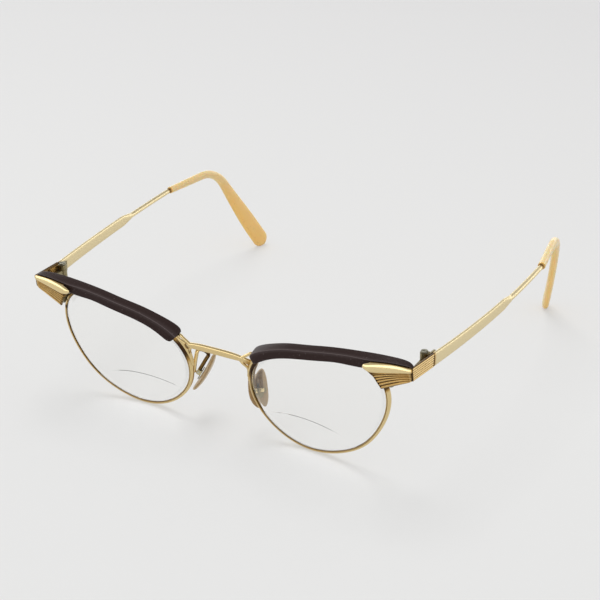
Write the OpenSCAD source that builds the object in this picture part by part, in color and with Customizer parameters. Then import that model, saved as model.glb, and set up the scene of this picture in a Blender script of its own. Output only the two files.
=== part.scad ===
// Cat eye eyeglasses with metal eyewires, plastic brow trims and hooked temples.
// Lengths in millimetres. X runs across the face, -Y is the front, Z is up,
// and the frame stands on the two eyewires and the two temple tips.

/* [Lens openings] */
// Width of the opening inside each eyewire
eye_w = 44.6; // [41:0.2:48]
// Height of the opening inside each eyewire, along the lens
eye_h = 37; // [34:0.2:40]
// Distance between the two openings at the nose
bridge_w = 22.4; // [20:0.2:26]
// How much the outline is longer along its long axis than a circle
stretch = 0.14; // [0.1:0.01:0.17]
// Direction of the long axis above the horizontal
stretch_at = 22.5; // [18:0.5:28]
// How strongly the upper outer corner is drawn out
corner_pull = 1; // [0.7:0.1:1.2]
// Direction of the upper outer corner
corner_at = 37; // [33:1:41]
// How far the top of the lenses leans forward
tilt = 8.6; // [7:0.2:11]
// Radius of the curve that the lenses and eyewires lie on
base_r = 90; // [75:1:120]

/* [Lenses] */
// Thickness of the glass
lens_t = 1.5; // [1.3:0.05:1.6]
// Radius of the upper edge of the reading field
reading_r = 27; // [22:0.5:34]
// Height of the reading field's top below the middle of the lens
reading_drop = 6.6; // [4:0.2:9]
// Shift of the reading field towards the nose
reading_inset = 4.8; // [2:0.2:6]
// Height of the ledge round the reading field
ledge_h = 0.22; // [0.15:0.01:0.3]

/* [Eyewires] */
// Thickness of the wire, seen from the front
wire_t = 1.15; // [1.1:0.05:1.4]
// Depth of the wire, from front to back
wire_d = 1.5; // [1.5:0.05:2]
// Depth of the groove that holds the lens
groove_d = 0.4; // [0.35:0.01:0.45]

/* [Brow trims] */
// How far the trim stands above the eyewire
brow_top = 0.85; // [0.6:0.05:1.2]
// How far the trim hangs below the wire's inner edge
brow_lip = 0.7; // [0.3:0.05:1]
// How far the trim stands in front of the eyewire
brow_front = 1.75; // [1.4:0.05:2]

/* [Endpieces] */
// Distance from a lens opening to the outer face of the temple
end_reach = 9.2; // [8.6:0.1:11]
// Length of the endpiece along the front
end_l = 14.6; // [13.6:0.1:15.6]
// Number of flutes on the endpiece and on the temple
flute_n = 6; // [5:1:7]
// Height of the flutes
flute_h = 0.28; // [0.2:0.01:0.35]
// Height of the smooth cap above the flutes
cap_relief = 0.95; // [0.7:0.05:1.1]
// Thickness of the stamped endpiece
plate_t = 0.7; // [0.6:0.05:0.9]

/* [Hinges] */
// Distance of the hinge screw behind the seam
axis_back = 11.2; // [10.4:0.1:12]
// Radius of the hinge knuckles
knuckle_r = 1.25; // [1.15:0.05:1.3]
// Height of one hinge knuckle
knuckle_h = 1.65; // [1.4:0.05:1.8]
// Radius of the hinge screw
screw_r = 0.6; // [0.5:0.05:0.7]

/* [Temples] */
// Length of the fluted butt
butt_l = 11.6; // [10.8:0.1:13]
// Length of the flat strap behind the butt
strap_l = 45; // [40:1:48]
// Height of the strap
strap_h = 3.8; // [3.4:0.1:4]
// Thickness of the strap
strap_t = 1.1; // [1:0.05:1.3]
// Radius of the round wire behind the strap
shaft_r = 0.85; // [0.75:0.05:0.95]
// Length of the bare round wire
bare_l = 27; // [24:1:32]
// Length of the sleeve before its bend
sleeve_l = 17.5; // [16:0.5:20]
// Radius of the bend over the ear
bend_r = 13; // [11:0.5:15]
// Angle of the bend
bend_a = 62; // [58:1:68]
// How far the temple bows outwards
splay = 5.7; // [4.5:0.1:6.5]
// Inward slope of the sleeve
turn_in = 0.15; // [0.1:0.01:0.18]
// Width of the flat end of the sleeve
paddle_w = 6.6; // [5.6:0.1:7]
// Thickness of the sleeve
sleeve_t = 2.5; // [2.3:0.1:2.8]

/* [Nose pads] */
// Length of a nose pad
pad_l = 13.6; // [12.6:0.1:14.6]
// Width of a nose pad
pad_w = 7.8; // [7:0.1:8.4]
// Thickness of a nose pad
pad_t = 1.8; // [1.6:0.1:2.1]
// Radius of the pad arm's wire
arm_r = 0.6; // [0.5:0.05:0.65]
// Radius of the pin that the pad rocks on
pin_r = 0.35; // [0.3:0.05:0.4]

/* [Bridge] */
// Height of the bridge bar
bridge_h = 2.2; // [1.8:0.1:2.6]
// Thickness of the bridge bar
bridge_t = 1.2; // [1:0.1:1.5]
// How far the middle of the bar rises above its ends
bridge_rise = 1.8; // [1:0.1:3]

/* [Hidden] */

gold = "#d9bd72";
plum = "#3a2f33";
amber = "#dba95f";
cream = "#dcc9a4";
clear_glass = "#cfe0e6";
steel = "#8d8878";

// Clearances: joined pieces, the glass in its groove, and a pin in its bore
seat = 0.04;
glass_gap = 0.05;
bore_gap = 0.03;
split_gap = 0.3;

// Small vector and blending helpers
function unit(v) = v / norm(v);
function mix(a, b, t) = a + (b - a) * t;
function clamp01(t) = min(max(t, 0), 1);
function ease(t) = let (c = clamp01(t)) c * c * (3 - 2 * c);
function middle(pts) = [for (i = [0:2]) (min([for (p = pts) p[i]]) + max([for (p = pts) p[i]])) / 2];

// A smooth curve through the given points, with several steps between two of them
function curve_pt(p, i, t) =
    let (a = p[max(i - 1, 0)], b = p[i], c = p[i + 1], d = p[min(i + 2, len(p) - 1)])
    0.5 * (2 * b + (c - a) * t + (2 * a - 5 * b + 4 * c - d) * t * t
        + (3 * b - a - 3 * c + d) * t * t * t);
function curve(p, steps) = concat(
    [for (i = [0:len(p) - 2]) for (k = [0:steps - 1]) curve_pt(p, i, k / steps)],
    [p[len(p) - 1]]);

// A closed skin over a row of sections that have as many points each.
// Both ends are closed as a fan from the middle of the listed corners.
function heart(sec, corners) =
    let (c = len(corners) == 0 ? [for (i = [0:len(sec) - 1]) i] : corners)
    [for (k = [0:2]) [for (i = c) sec[i][k]] * [for (i = c) 1] / len(c)];
module skin(secs, corners = []) {
    n = len(secs);
    m = len(secs[0]);
    polyhedron(
        concat([for (s = secs) each s], [heart(secs[0], corners), heart(secs[n - 1], corners)]),
        concat(
            [for (i = [0:n - 2]) for (j = [0:m - 1]) let (k = (j + 1) % m, a = i * m, b = a + m)
                each [[a + j, a + k, b + j], [a + k, b + k, b + j]]],
            [for (j = [0:m - 1]) [n * m, (j + 1) % m, j]],
            [for (j = [0:m - 1]) let (a = (n - 1) * m) [n * m + 1, a + j, a + (j + 1) % m]]),
        convexity = 8);
}

// Outline of the opening: a circle drawn out along one axis, with a raised outer corner
stations = 60;
function lobe(a) = 1 + stretch * cos(2 * (a - stretch_at))
    + corner_pull * (0.048 * cos(3 * (a - corner_at)) + 0.016 * cos(4 * (a - corner_at))
        + 0.012 * cos(5 * (a - corner_at)));
function raw(a) = lobe(a) * [cos(a), sin(a)];
raw_pts = [for (i = [0:179]) raw(2 * i)];
raw_lo = [for (k = [0:1]) min([for (p = raw_pts) p[k]])];
raw_hi = [for (k = [0:1]) max([for (p = raw_pts) p[k]])];
function edge(a) = let (p = raw(a))
    [(p[0] - (raw_lo[0] + raw_hi[0]) / 2) * eye_w / (raw_hi[0] - raw_lo[0]),
     (p[1] - (raw_lo[1] + raw_hi[1]) / 2) * eye_h / (raw_hi[1] - raw_lo[1])];
function outward(a) = let (d = unit(edge(a + 1) - edge(a - 1))) [d[1], -d[0]];
function rim_uv(a, off) = edge(a) + off * outward(a);

// Lens coordinates: u outwards, v up along the lens, n backwards from the wire's front face
function lens_off(uv, n) = let (back = n + (uv * uv) / (2 * base_r))
    [uv[0], -uv[1] * sin(tilt) + back * cos(tilt), uv[1] * cos(tilt) + back * sin(tilt)];
wire_profile = [[0, 0.12], [0.14, 0], [0.26, 0.02], [0.34, 0.18], [0.42, 0.02], [wire_t - 0.3, 0.06],
    [wire_t, 0.4], [wire_t, wire_d - 0.4], [wire_t - 0.3, wire_d], [0.2, wire_d], [0, wire_d - 0.15],
    [0, wire_d / 2 + 0.3], [groove_d, wire_d / 2 + 0.15],
    [groove_d, wire_d / 2 - 0.15], [0, wire_d / 2 - 0.3]];
eye_x = (bridge_w + eye_w) / 2;
eye_z = -min([for (i = [0:stations - 1]) for (p = wire_profile)
    lens_off(rim_uv(i * 360 / stations, p[0]), p[1])[2]]);
function lens_pt(uv, n) = [eye_x, 0, eye_z] + lens_off(uv, n);
function rim_pt(a, off, n) = lens_pt(rim_uv(a, off), n);
module lens_frame() {
    translate([eye_x, 0, eye_z]) rotate([90 + tilt, 0, 0]) children();
}

// The eyewire: a grooved wire bent round the opening and cut where the barrels close it
split_at = 31;
module eyewire() {
    step = 360 / stations;
    cut = split_gap / eye_w * 114.6 / 2;
    angles = concat([split_at + cut], [for (i = [1:stations - 1]) split_at + i * step],
        [split_at + 360 - cut]);
    color(gold) skin([for (i = [len(angles) - 1:-1:0]) [for (p = wire_profile) rim_pt(angles[i], p[0], p[1])]],
        [5, 8]);
}

// The lens: a meniscus with a thin tongue in the groove and a ledge round the reading field
module lens_prism(off) {
    translate([0, 0, -20]) linear_extrude(30)
        polygon([for (i = [0:stations - 1]) rim_uv(i * 360 / stations, off)]);
}
module shell(front_r, back_r) {
    translate([0, 0, -wire_d / 2 - base_r]) difference() {
        sphere(front_r, $fn = 240);
        sphere(back_r, $fn = 240);
    }
}
tongue_t = 0.26;
module lens() {
    mid_r = base_r;
    color(clear_glass, 0.5) lens_frame() {
        intersection() {
            lens_prism(-glass_gap);
            shell(mid_r + lens_t / 2, mid_r - lens_t / 2);
        }
        intersection() {
            lens_prism(groove_d - 0.12);
            shell(mid_r + tongue_t / 2, mid_r - tongue_t / 2);
        }
        intersection() {
            lens_prism(-glass_gap - 0.25);
            translate([-reading_inset, -reading_drop - reading_r, -20])
                cylinder(r = reading_r, h = 40, $fn = 120);
            shell(mid_r - lens_t / 2 + 0.1, mid_r - lens_t / 2 - ledge_h);
        }
    }
}

// Corner of the frame: the endpiece and the temple butt meet on a mitre there.
// Everything on the front leans with the lenses, by lean(z) at a given height.
corner_x = bridge_w / 2 + eye_w + end_reach;
seam_y = -0.25;
seam_above = 18.75;
seam_z = eye_z + seam_above;
seam_h = 4.2;
front_turn = 6;
nose_r = 2;
cap_low = 1.2;
cap_nose = 2.4;
fan_drop = 7.1;
fan_in = 5.3;
end_steps = 14;
function lean(z) = -(z - seam_z) * tan(tilt);
end_point = [corner_x - flute_h, seam_y];
arc_mid = end_point + nose_r * [-sin(45), cos(45)];
arc_start = arc_mid + nose_r * [sin(front_turn), -cos(front_turn)];
line_l = (arc_start[0] - (corner_x - end_l)) / cos(front_turn);
arc_l = nose_r * (45 - front_turn) * PI / 180;
path_l = line_l + arc_l;
function end_turn(q) = q < line_l ? front_turn : front_turn + (q - line_l) / nose_r * 180 / PI;
function end_path(q, out) = let (t = end_turn(q), n = [sin(t), -cos(t)])
    (q < line_l ? arc_start - (line_l - q) * [cos(front_turn), sin(front_turn)] : arc_mid + nose_r * n)
    + out * n;
function end_pt(q, out, z) = let (p = end_path(q, out)) [p[0], p[1] + lean(z), z];
function behind_end(x, z) = end_path(line_l - (arc_start[0] - x) / cos(front_turn), -plate_t)[1] + lean(z);

// The brow trim: a channel over the wire that runs out into a solid end above the endpiece
brow_z = seam_z + 3.5;
brow_back = 2.6;
brow_hooks = [[152, 3, -0.7, 1.6], [147, 2.8, -0.3, 1.5], [139, 2.1, 0.2, 1.3], [130, 1.5, 0.7, 1.15],
    [117, 1.2, 1, 1.05], [104, 1, 1, 1], [90, 1, 1, 1], [76, 0.95, 1.1, 1], [64, 0.95, 1, 1], [53, 1.7, 0.8, 1]];
function hook_key(a, hi, lo, front) = let (top = wire_t + hi)
    [for (p = [[top - 0.25, wire_d + 0.3], [top, wire_d], [top - 0.08, 0.1],
        [top - 0.3, -front + 0.5], [mix(0.35 - lo, top - 0.3, 0.5), -front + 0.2], [0.35 - lo, -front],
        [-lo, 0.35 - front],
        [0.1 - lo, -2 * seat], [wire_t + 2 * seat, -2 * seat], [wire_t + 2 * seat, wire_d + 0.3]])
        rim_pt(a, p[0], p[1])];
function crest(x) = cap_z(0, clamp01((line_l - (arc_start[0] - x) / cos(front_turn) - cap_nose) / (path_l - cap_nose)));
function end_key(x, top, low, back) =
    let (y = behind_end(x, top - 1.4) + 2 * seat, w = back - y, lip = crest(x) + 2 * seat)
    [[x, back, top - 0.3], [x, back - 0.35, top], [x, y + 0.35 * w, mix(top, lip + 0.18, 0.55)],
     [x, y - 0.3, lip + 0.18], [x, y + 0.05, lip], [x, behind_end(x, low) + 2 * seat, low + 0.3],
     [x, behind_end(x, low) + 0.3, low], [x, y + 0.5 * w, low], [x, y + 0.7 * w, low], [x, back, low]];
function shrunk(key, k) = let (c = middle(key)) [for (p = key) c + (p - c) * k];
brow_keys_end = brow_hooks[0][0] + 2;
brow_keys = concat(
    [let (k = brow_hooks[0]) shrunk(hook_key(brow_keys_end, brow_top * k[1], brow_lip * k[2], brow_front * k[3]), 0.8)],
    [for (k = brow_hooks) hook_key(k[0], brow_top * k[1], brow_lip * k[2], brow_front * k[3])],
    [end_key(corner_x - 12.2, brow_z - 0.88, brow_z - 4.6, brow_back - 0.1),
     end_key(corner_x - 8, brow_z - 0.75, brow_z - 3.4, brow_back),
     end_key(corner_x - 4.4, brow_z - 0.7, brow_z - 3.2, brow_back),
     end_key(corner_x - 1.8, brow_z - 0.78, brow_z - 3.1, brow_back - 0.5)],
    [shrunk(end_key(corner_x - 0.75, brow_z - 0.95, brow_z - 3.1, brow_back - 1), 0.76)]);
brow_screw_x = corner_x - 5.2;
brow_screw_y = 1.5;
module brow_trim() {
    keys = len(brow_keys) - 1;
    color(plum) difference() {
        skin([for (i = [3 * keys:-1:0]) [for (j = [0:9]) curve([for (k = brow_keys) k[j]], 3)[i]]], [2, 8]);
        translate([brow_screw_x, brow_screw_y, brow_z - 5]) cylinder(r = screw_r + bore_gap, h = 3.7, $fn = 32);
    }
}

// The endpiece: one stamping with a smooth cap over a fan of flutes, ending on the mitre
function cap_z(c, s) = let (top = seam_z + mix(1.8, 2.1, s) + 0.4 * sin(180 * s),
        low = seam_z + mix(-1.5, 2.1 - cap_low, s)) mix(top, low, (1 - cos(180 * c)) / 2);
function fan_z(t, s) = mix(seam_z + mix(-1.5, -1.5 - (fan_drop - 2), t),
    seam_z + mix(2.1 - cap_low, 2.1 - seam_h, t), s + 0.5 * sin(180 * t) * s * (1 - s));
function end_q(start, s) = mix(start, path_l, s);
function end_row(s) = let (nose = sqrt(1 - pow(1 - clamp01(s / 0.16), 2)), thin = mix(1, 0.4, s))
    concat(
        [for (c = [0:0.125:1]) let (q = end_q(cap_nose * pow(cos(180 * c), 2), s))
            end_pt(q, cap_relief * pow(sin(180 * c), 0.8) * nose * thin, cap_z(c, s))],
        [for (i = [1:3 * flute_n]) let (t = i / (3 * flute_n), q = end_q(mix(cap_nose, fan_in, t), s))
            end_pt(q, flute_h * abs(sin(180 * flute_n * t)) - 0.12, fan_z(t, s))],
        [end_pt(end_q(fan_in, s), -plate_t, fan_z(1, s)), end_pt(end_q(cap_nose, s), -plate_t, cap_z(0, s))]);
module endpiece() {
    color(gold) skin([for (i = [end_steps:-1:0]) end_row(pow(i / end_steps, 1.5))], [9, 10, 27]);
}

// The end block behind the endpiece, which carries the hinge and closes the eyewire
block_low = seam_z - 4.2;
block_top = brow_z - 3.85;
block_back = 2.7;
barrel_r = 1.05;
barrel_at = rim_pt(split_at, wire_t + barrel_r + seat, wire_d / 2);
module barrel_frame() {
    along = unit(rim_pt(split_at + 1, 0, 0) - rim_pt(split_at - 1, 0, 0));
    across = unit(cross([0, 1, 0], along));
    deep = cross(along, across);
    multmatrix([for (i = [0:2]) [across[i], deep[i], along[i], barrel_at[i]]]) children();
}
axis_x = corner_x - 1.8;
axis_y = seam_y + axis_back;
hinge_low = seam_z - 3.85;
module end_block() {
    inner = barrel_at[0] - 0.2;
    color(gold) difference() {
        translate([inner, -2, block_low]) cube([corner_x - 1.9 - inner, block_back + 2, block_top - block_low]);
        translate([corner_x - 4.5, -3, block_low - 1]) cube([6, 8, 2.4]);
        translate([corner_x, 0, 0]) translate([0, behind_end(corner_x, seam_z) + seat, seam_z])
            rotate([tilt, 0, 0]) rotate([0, 0, front_turn]) translate([-20, -10, -10]) cube([30, 10, 20]);
        translate([brow_screw_x, brow_screw_y, block_low - 1]) cylinder(r = screw_r + bore_gap, h = 9, $fn = 32);
        barrel_frame() translate([0, 0, -5]) cylinder(r = barrel_r + seat, h = 10, $fn = 48);
    }
}
module brow_screw() {
    color(steel) translate([brow_screw_x, brow_screw_y, block_low - 0.5]) {
        cylinder(r = 1, h = 0.5 - seat, $fn = 32);
        cylinder(r = screw_r, h = brow_z - 1.5 - block_low, $fn = 32);
    }
}

// Two barrels on the cut ends of the eyewire, and the screw that draws them together
barrel_h = 1.9;
module closing_barrels() {
    color(gold) barrel_frame() for (z = [-split_gap / 2 - barrel_h, split_gap / 2])
        translate([0, 0, z]) difference() {
            cylinder(r = barrel_r, h = barrel_h, $fn = 48);
            translate([0, 0, -1]) cylinder(r = screw_r + bore_gap, h = barrel_h + 2, $fn = 32);
        }
}
module closing_screw() {
    color(steel) barrel_frame() translate([0, 0, -split_gap / 2 - barrel_h]) {
        translate([0, 0, -0.8]) cylinder(r = 1, h = 0.8 - seat, $fn = 32);
        translate([0, 0, -0.4]) cylinder(r = screw_r, h = 2 * barrel_h + split_gap, $fn = 32);
    }
}

// The hinge: the middle knuckle on the front, the outer two on the temple, a screw down through them
knuckle_gap = 0.06;
function knuckle_z(i) = hinge_low + i * (knuckle_h + knuckle_gap);
module knuckle(i) {
    translate([axis_x, axis_y, knuckle_z(i)]) cylinder(r = knuckle_r, h = knuckle_h, $fn = 48);
}
module hinge_bore() {
    translate([axis_x, axis_y, hinge_low - 1]) cylinder(r = screw_r + bore_gap, h = 8, $fn = 32);
}
module front_hinge() {
    start = block_back + seat;
    color(gold) difference() {
        union() {
            translate([axis_x - 3.6, start, block_low + 0.2]) cube([3.5, 0.8, block_top - block_low - 0.3]);
            translate([axis_x - 0.6, start, knuckle_z(1)]) cube([1.2, axis_y - start, knuckle_h]);
            knuckle(1);
        }
        hinge_bore();
    }
}
// The temple runs back from the seam, splayed outwards, then bows and turns in at the sleeve
core_t = 0.65;
butt_t = 0.75;
butt_pitch = 4.2;
butt_splay = 5.4;
butt_end = seam_y + butt_l;
butt_out = corner_x + butt_l * tan(butt_splay);
strap_x = butt_out - strap_t / 2 - 0.15;
bow_end = butt_end + strap_l + bare_l;
sleeve_y = bow_end;
bend_y = sleeve_y + sleeve_l;
strap_z = seam_z - butt_l * tan(butt_pitch) - 0.1;
function bow_t(y) = clamp01((y - butt_end) / (bow_end - butt_end));
function strap_pt(y) = [strap_x + splay * (1 - pow(1 - bow_t(y), 2)), y, strap_z - 0.3 * sin(180 * bow_t(y))];
sleeve_start = strap_pt(sleeve_y);
sleeve_dir = unit([-turn_in, 1, 0]);
bend_start = sleeve_start + sleeve_dir * sleeve_l;
arc_len = bend_r * bend_a * PI / 180;
drop_in = 0.05;
function bend_pt(d) = let (a = min(d / bend_r * 180 / PI, bend_a), rest = max(d - arc_len, 0))
    bend_start + [-turn_in * d, bend_r * sin(a) + rest * cos(bend_a),
        -bend_r * (1 - cos(a)) - rest * sin(bend_a)] - [drop_in * max(d, 0) * d / 42, 0, 0];
function temple_pt(d) = d < 0 ? bend_start + sleeve_dir * d : bend_pt(d);

// Oval section of the temple across direction dir, turned by twist, of the given width and thickness
function oval(c, dir, twist, w, t, power, sides) =
    let (across = unit(cross(cross(dir, [cos(twist), sin(twist), 0]), dir)), up = cross(across, dir))
    [for (i = [0:sides - 1]) let (a = 360 * (i + 0.5) / sides, k = pow(pow(abs(cos(a)), power)
            + pow(abs(sin(a)), power), -1 / power))
        c + across * (t / 2 * k * cos(a)) + up * (w / 2 * k * sin(a))];

// The fluted butt cover and the temple leaf behind it, both in the butt's own direction
module butt_frame() {
    translate([corner_x, seam_y, seam_z]) rotate([0, 0, -butt_splay]) rotate([90 - butt_pitch, 0, 0])
        mirror([0, 0, 1]) children();
}
module butt_profile() {
    pitch = seam_h / flute_n;
    translate([-butt_t, -seam_h / 2]) square([butt_t - flute_h, seam_h]);
    intersection() {
        translate([-butt_t, -seam_h / 2]) square([butt_t + 1, seam_h]);
        for (i = [0:flute_n - 1]) translate([-pitch / 2, (i + 0.5) * pitch - seam_h / 2])
            circle(r = pitch / 2, $fn = 24);
    }
}
module temple_butt() {
    color(gold) difference() {
        butt_frame() translate([0, 0, -3]) linear_extrude(butt_l / cos(butt_splay) + 3) butt_profile();
        translate([corner_x - flute_h, seam_y + 0.08, seam_z]) rotate([tilt, 0, 0]) rotate([0, 0, -45])
            translate([-8, -10, -10]) cube([20, 10, 20]);
    }
}
leaf_in = butt_t + core_t + 2 * seat;
leaf_t = 0.5;
leaf_x = corner_x - leaf_in + axis_back * tan(butt_splay);
module temple_hinge() {
    color(gold) difference() {
        union() {
            for (i = [0, 2]) {
                knuckle(i);
                translate([axis_x, axis_y - 0.1, knuckle_z(i)]) cube([leaf_x - axis_x - 0.2, knuckle_r, knuckle_h]);
            }
            butt_frame() translate([-leaf_in - leaf_t, -1.6, axis_back - 0.8]) cube([leaf_t, 3.4, 4.4]);
        }
        hinge_bore();
        translate([axis_x, axis_y, knuckle_z(1) - knuckle_gap])
            cylinder(r = knuckle_r + 0.1, h = knuckle_h + 2 * knuckle_gap, $fn = 48);
    }
}
module hinge_screw() {
    top = knuckle_z(3) - knuckle_gap;
    color(steel) translate([axis_x, axis_y, 0]) {
        translate([0, 0, hinge_low]) cylinder(r = screw_r, h = top - hinge_low + 0.2, $fn = 32);
        difference() {
            translate([0, 0, top + seat]) cylinder(r = 1.05, h = 0.5, $fn = 40);
            translate([-1.5, -0.12, top + 0.35]) cube([3, 0.24, 1]);
        }
    }
}

// The shaft: a thin core under the cover, then the flat strap, then the round wire
function shaft_sec(y, c, w, t, power) = oval(c, unit(strap_pt(max(y, butt_end) + 0.5) - strap_pt(max(y, butt_end) - 0.5)),
    0, w, t, power, 12);
module temple_shaft() {
    core_w = seam_h - 0.9;
    core_y = [butt_l - 5.4, butt_l - 3, butt_l + 0.25];
    wire_y = butt_end + strap_l;
    flat_y = [0.3, 0.7, 6, 12, 18, 24, 30, 36, strap_l - 3];
    wire_steps = [0, 0.05, 0.12, 0.3, 0.5, 0.75, 1];
    core_end = sleeve_l - 3.5;
    color(gold) skin(concat(
        [for (d = core_y) oval([corner_x - butt_t - core_t / 2 - seat + d * tan(butt_splay), seam_y + d,
            seam_z - d * tan(butt_pitch)], unit([tan(butt_splay), 1, -tan(butt_pitch)]), 0, core_w, core_t, 5, 12)],
        [for (d = flat_y) let (y = butt_end + d)
            shaft_sec(y, strap_pt(y), mix(strap_h + 0.4, strap_h - 0.2, d / strap_l), strap_t, 4)],
        [for (k = wire_steps) let (y = wire_y + k * (bare_l - 0.6))
            shaft_sec(y, strap_pt(y), 2 * mix(1.3, shaft_r, clamp01(k * 12)), 2 * shaft_r, 2)],
        [for (d = [0.6, core_end - 0.4, core_end])
            oval(sleeve_start + sleeve_dir * d, sleeve_dir, 0, 2 * shaft_r * (d < core_end ? 1 : 0.6),
                2 * shaft_r * (d < core_end ? 1 : 0.6), 2, 12)]));
}

// The sleeve: round at first, bent down over the ear and flattened into a paddle
function sleeve_w(k) = k < 0.3 ? mix(sleeve_t, sleeve_t * 1.15, ease(k / 0.3))
    : mix(sleeve_t * 1.15, paddle_w, ease((k - 0.3) / 0.6));
function sleeve_sec(d, k, tip_d) = let (dir = unit(temple_pt(d + 0.4) - temple_pt(d - 0.4)),
        f = clamp01((d + sleeve_l) / (tip_d + sleeve_l)))
    oval(temple_pt(d), dir, 17 * clamp01(d / tip_d), k * sleeve_w(f), mix(1, k, 0.5) * sleeve_t, mix(2, 2.6, f), 14);
tip_round = paddle_w * 0.46;
function tip_secs(tip_d) = concat(
    [sleeve_sec(-sleeve_l, 0.9, tip_d)],
    [for (d = [0.25, 6, 12]) sleeve_sec(d - sleeve_l, 1, tip_d)],
    [for (i = [0:9]) sleeve_sec(mix(0, arc_len, i / 9), 1, tip_d)],
    [for (i = [1:6]) sleeve_sec(mix(arc_len, tip_d, i / 6), 1, tip_d)],
    [for (a = [20:17:88]) sleeve_sec(tip_d + tip_round * sin(a), cos(a), tip_d)]);
function lowest(secs) = min([for (s = secs) for (p = s) p[2]]);
// Length of the drop, worked out so that the paddle just reaches the floor
function reach(tip_d, steps) = steps == 0 ? tip_d : reach(tip_d + lowest(tip_secs(tip_d)) / sin(bend_a), steps - 1);
sleeve_secs = tip_secs(reach(arc_len + (bend_start[2] - bend_r * (1 - cos(bend_a))) / sin(bend_a) - 3, 3));
tip_low = lowest(sleeve_secs);
module temple_tip() {
    color(amber, 0.85) difference() {
        skin(sleeve_secs);
        translate(sleeve_start) rotate([-90, 0, 0])
            multmatrix(turned_to(sleeve_dir)) translate([0, 0, -1])
                cylinder(r = shaft_r + bore_gap, h = sleeve_l - 2.3, $fn = 32);
    }
}
// Rotation that carries the Z axis onto a direction, after a quarter turn about X
function turned_to(d) = let (z = [d[0], -d[2], d[1]], x = unit(cross([0, 1, 0], z)), y = cross(z, x))
    [[x[0], y[0], z[0], 0], [x[1], y[1], z[1], 0], [x[2], y[2], z[2], 0], [0, 0, 0, 1]];

// The nose pad stands in its own frame: long axis, face normal and width
pad_in = 1.55;
pad_back = 9.8;
pad_drop = 4.8;
pad_mid = [bridge_w / 2 - pad_in, pad_back, eye_z - pad_drop];
pad_up = unit([-0.34, 0.46, 0.82]);
pad_face = unit(cross(pad_up, [0.491, 0.732, -0.475]));
pad_side = cross(pad_face, pad_up);
module pad_frame() {
    multmatrix([for (i = [0:2]) [pad_side[i], pad_up[i], pad_face[i], pad_mid[i]]]) children();
}
pad_bow = 0.7;
function pad_sec(v) = let (k = sqrt(max(1 - pow(abs(v), 2.6), 0.004)), h = pad_l / 2)
    [for (i = [0:11]) let (a = 30 * i) [pad_w / 2 * k * cos(a) * (1 - 0.08 * v), v * h,
        pad_t / 2 * pow(k, 0.7) * sin(a) - pad_bow * v * v + pad_bow * 0.4]];
module nose_pad() {
    color(cream, 0.9) pad_frame() skin([for (v = [-1, -0.95, -0.85, -0.65, -0.4, -0.1, 0.2, 0.5, 0.72, 0.87, 0.95, 1])
        pad_sec(v)]);
}
mount_v = -1;
mount_t = 0.3;
eye_r = 0.7;
mount_z = -pad_t / 2 + 0.13 - seat;
pin_z = mount_z - mount_t - eye_r - 0.07;
module across_pad(x, l, r, sides) {
    translate([x, mount_v, pin_z]) rotate([0, 90, 0]) cylinder(r = r, h = l, $fn = sides);
}
module pad_mount() {
    color(gold) pad_frame() difference() {
        union() {
            translate([0, mount_v, mount_z - mount_t]) linear_extrude(mount_t) resize_oval(3.2, 4.4);
            for (x = [-1.3, 0.8]) {
                translate([x, mount_v - eye_r, pin_z]) cube([0.5, 2 * eye_r, mount_z - pin_z - mount_t / 2]);
                across_pad(x, 0.5, eye_r, 32);
            }
        }
        across_pad(-3, 6, pin_r + bore_gap, 24);
    }
}
module resize_oval(w, h) {
    scale([w / h, 1]) circle(d = h, $fn = 40);
}
module pad_pin() {
    color(steel) pad_frame() across_pad(-1.5, 3, pin_r, 24);
}

// The pad arm: soldered behind the eyewire, over in a loop and down the pad's back to an eye on the pin
function pad_world(p) = pad_mid + p[0] * pad_side + p[1] * pad_up + p[2] * pad_face;
arm_foot = rim_pt(187, wire_t / 2, wire_d + arm_r + seat);
arm_keys = [arm_foot + [0.2, 0.24, -1.2], arm_foot, arm_foot + [-0.4, 0.6, 3.6], arm_foot + [-0.8, 1.5, 5.9],
    arm_foot + [-1.4, 4, 4.6], pad_world([0, 5.2, pin_z - 0.1]), pad_world([0, 3.2, pin_z]),
    pad_world([0, mount_v + 0.4, pin_z])];
module pad_arm() {
    path = curve(arm_keys, 4);
    n = len(path);
    color(gold) {
        difference() {
            union() {
                skin([for (i = [0:n - 1]) oval(path[i], unit(path[min(i + 1, n - 1)] - path[max(i - 1, 0)]),
                    0, 2 * arm_r, 2 * arm_r, 2, 8)]);
                pad_frame() across_pad(-0.7, 1.4, eye_r, 32);
            }
            pad_frame() across_pad(-3, 6, pin_r + bore_gap, 24);
        }
    }
}

// The bridge: a bar whose ends turn back onto feet along the eyewires,
// each with a stay up to the brow trim and a leg down the wire
foot_a = [155.2, 181];
bar_a = 165;
bar_y = 1.2;
function foot_sec(a) = let (k = clamp01((a - foot_a[0]) / (foot_a[1] - foot_a[0])),
        t = 0.45 + 0.9 * pow(sin(180 * pow(k, 0.68)), 4))
    [for (p = [[seat, 0.25], [t, 0.35], [t, wire_d - 0.5], [seat, wire_d - 0.3]]) rim_pt(a, wire_t + p[0], p[1])];
bar_end = rim_pt(bar_a, wire_t + 0.85, wire_d / 2);
function bar_key(f, back, drop, h) = [f * bar_end[0], mix(bar_y, bar_end[1], back), bar_end[2] + bridge_rise * drop, h];
bar_keys = [bar_key(0, 0, 1, 1), bar_key(0.42, 0.04, 0.95, 1), bar_key(0.68, 0.08, 0.87, 0.88),
    bar_key(0.85, 0.15, 0.74, 0.75), concat(bar_end, 0.95)];
function round_bar(path, h, t) = let (n = len(path) - 1)
    [for (i = [0:n]) let (p = path[i], to = path[min(i + 1, n)], from = path[max(i - 1, 0)])
        oval([p[0], p[1], p[2]], unit([for (k = [0:2]) to[k] - from[k]]), 90, h * p[3], t * sqrt(p[3]), 3, 12)];
stay_end = rim_pt(foot_a[0] + 0.6, wire_t + 0.6, wire_d / 2 - 0.1);
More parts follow.
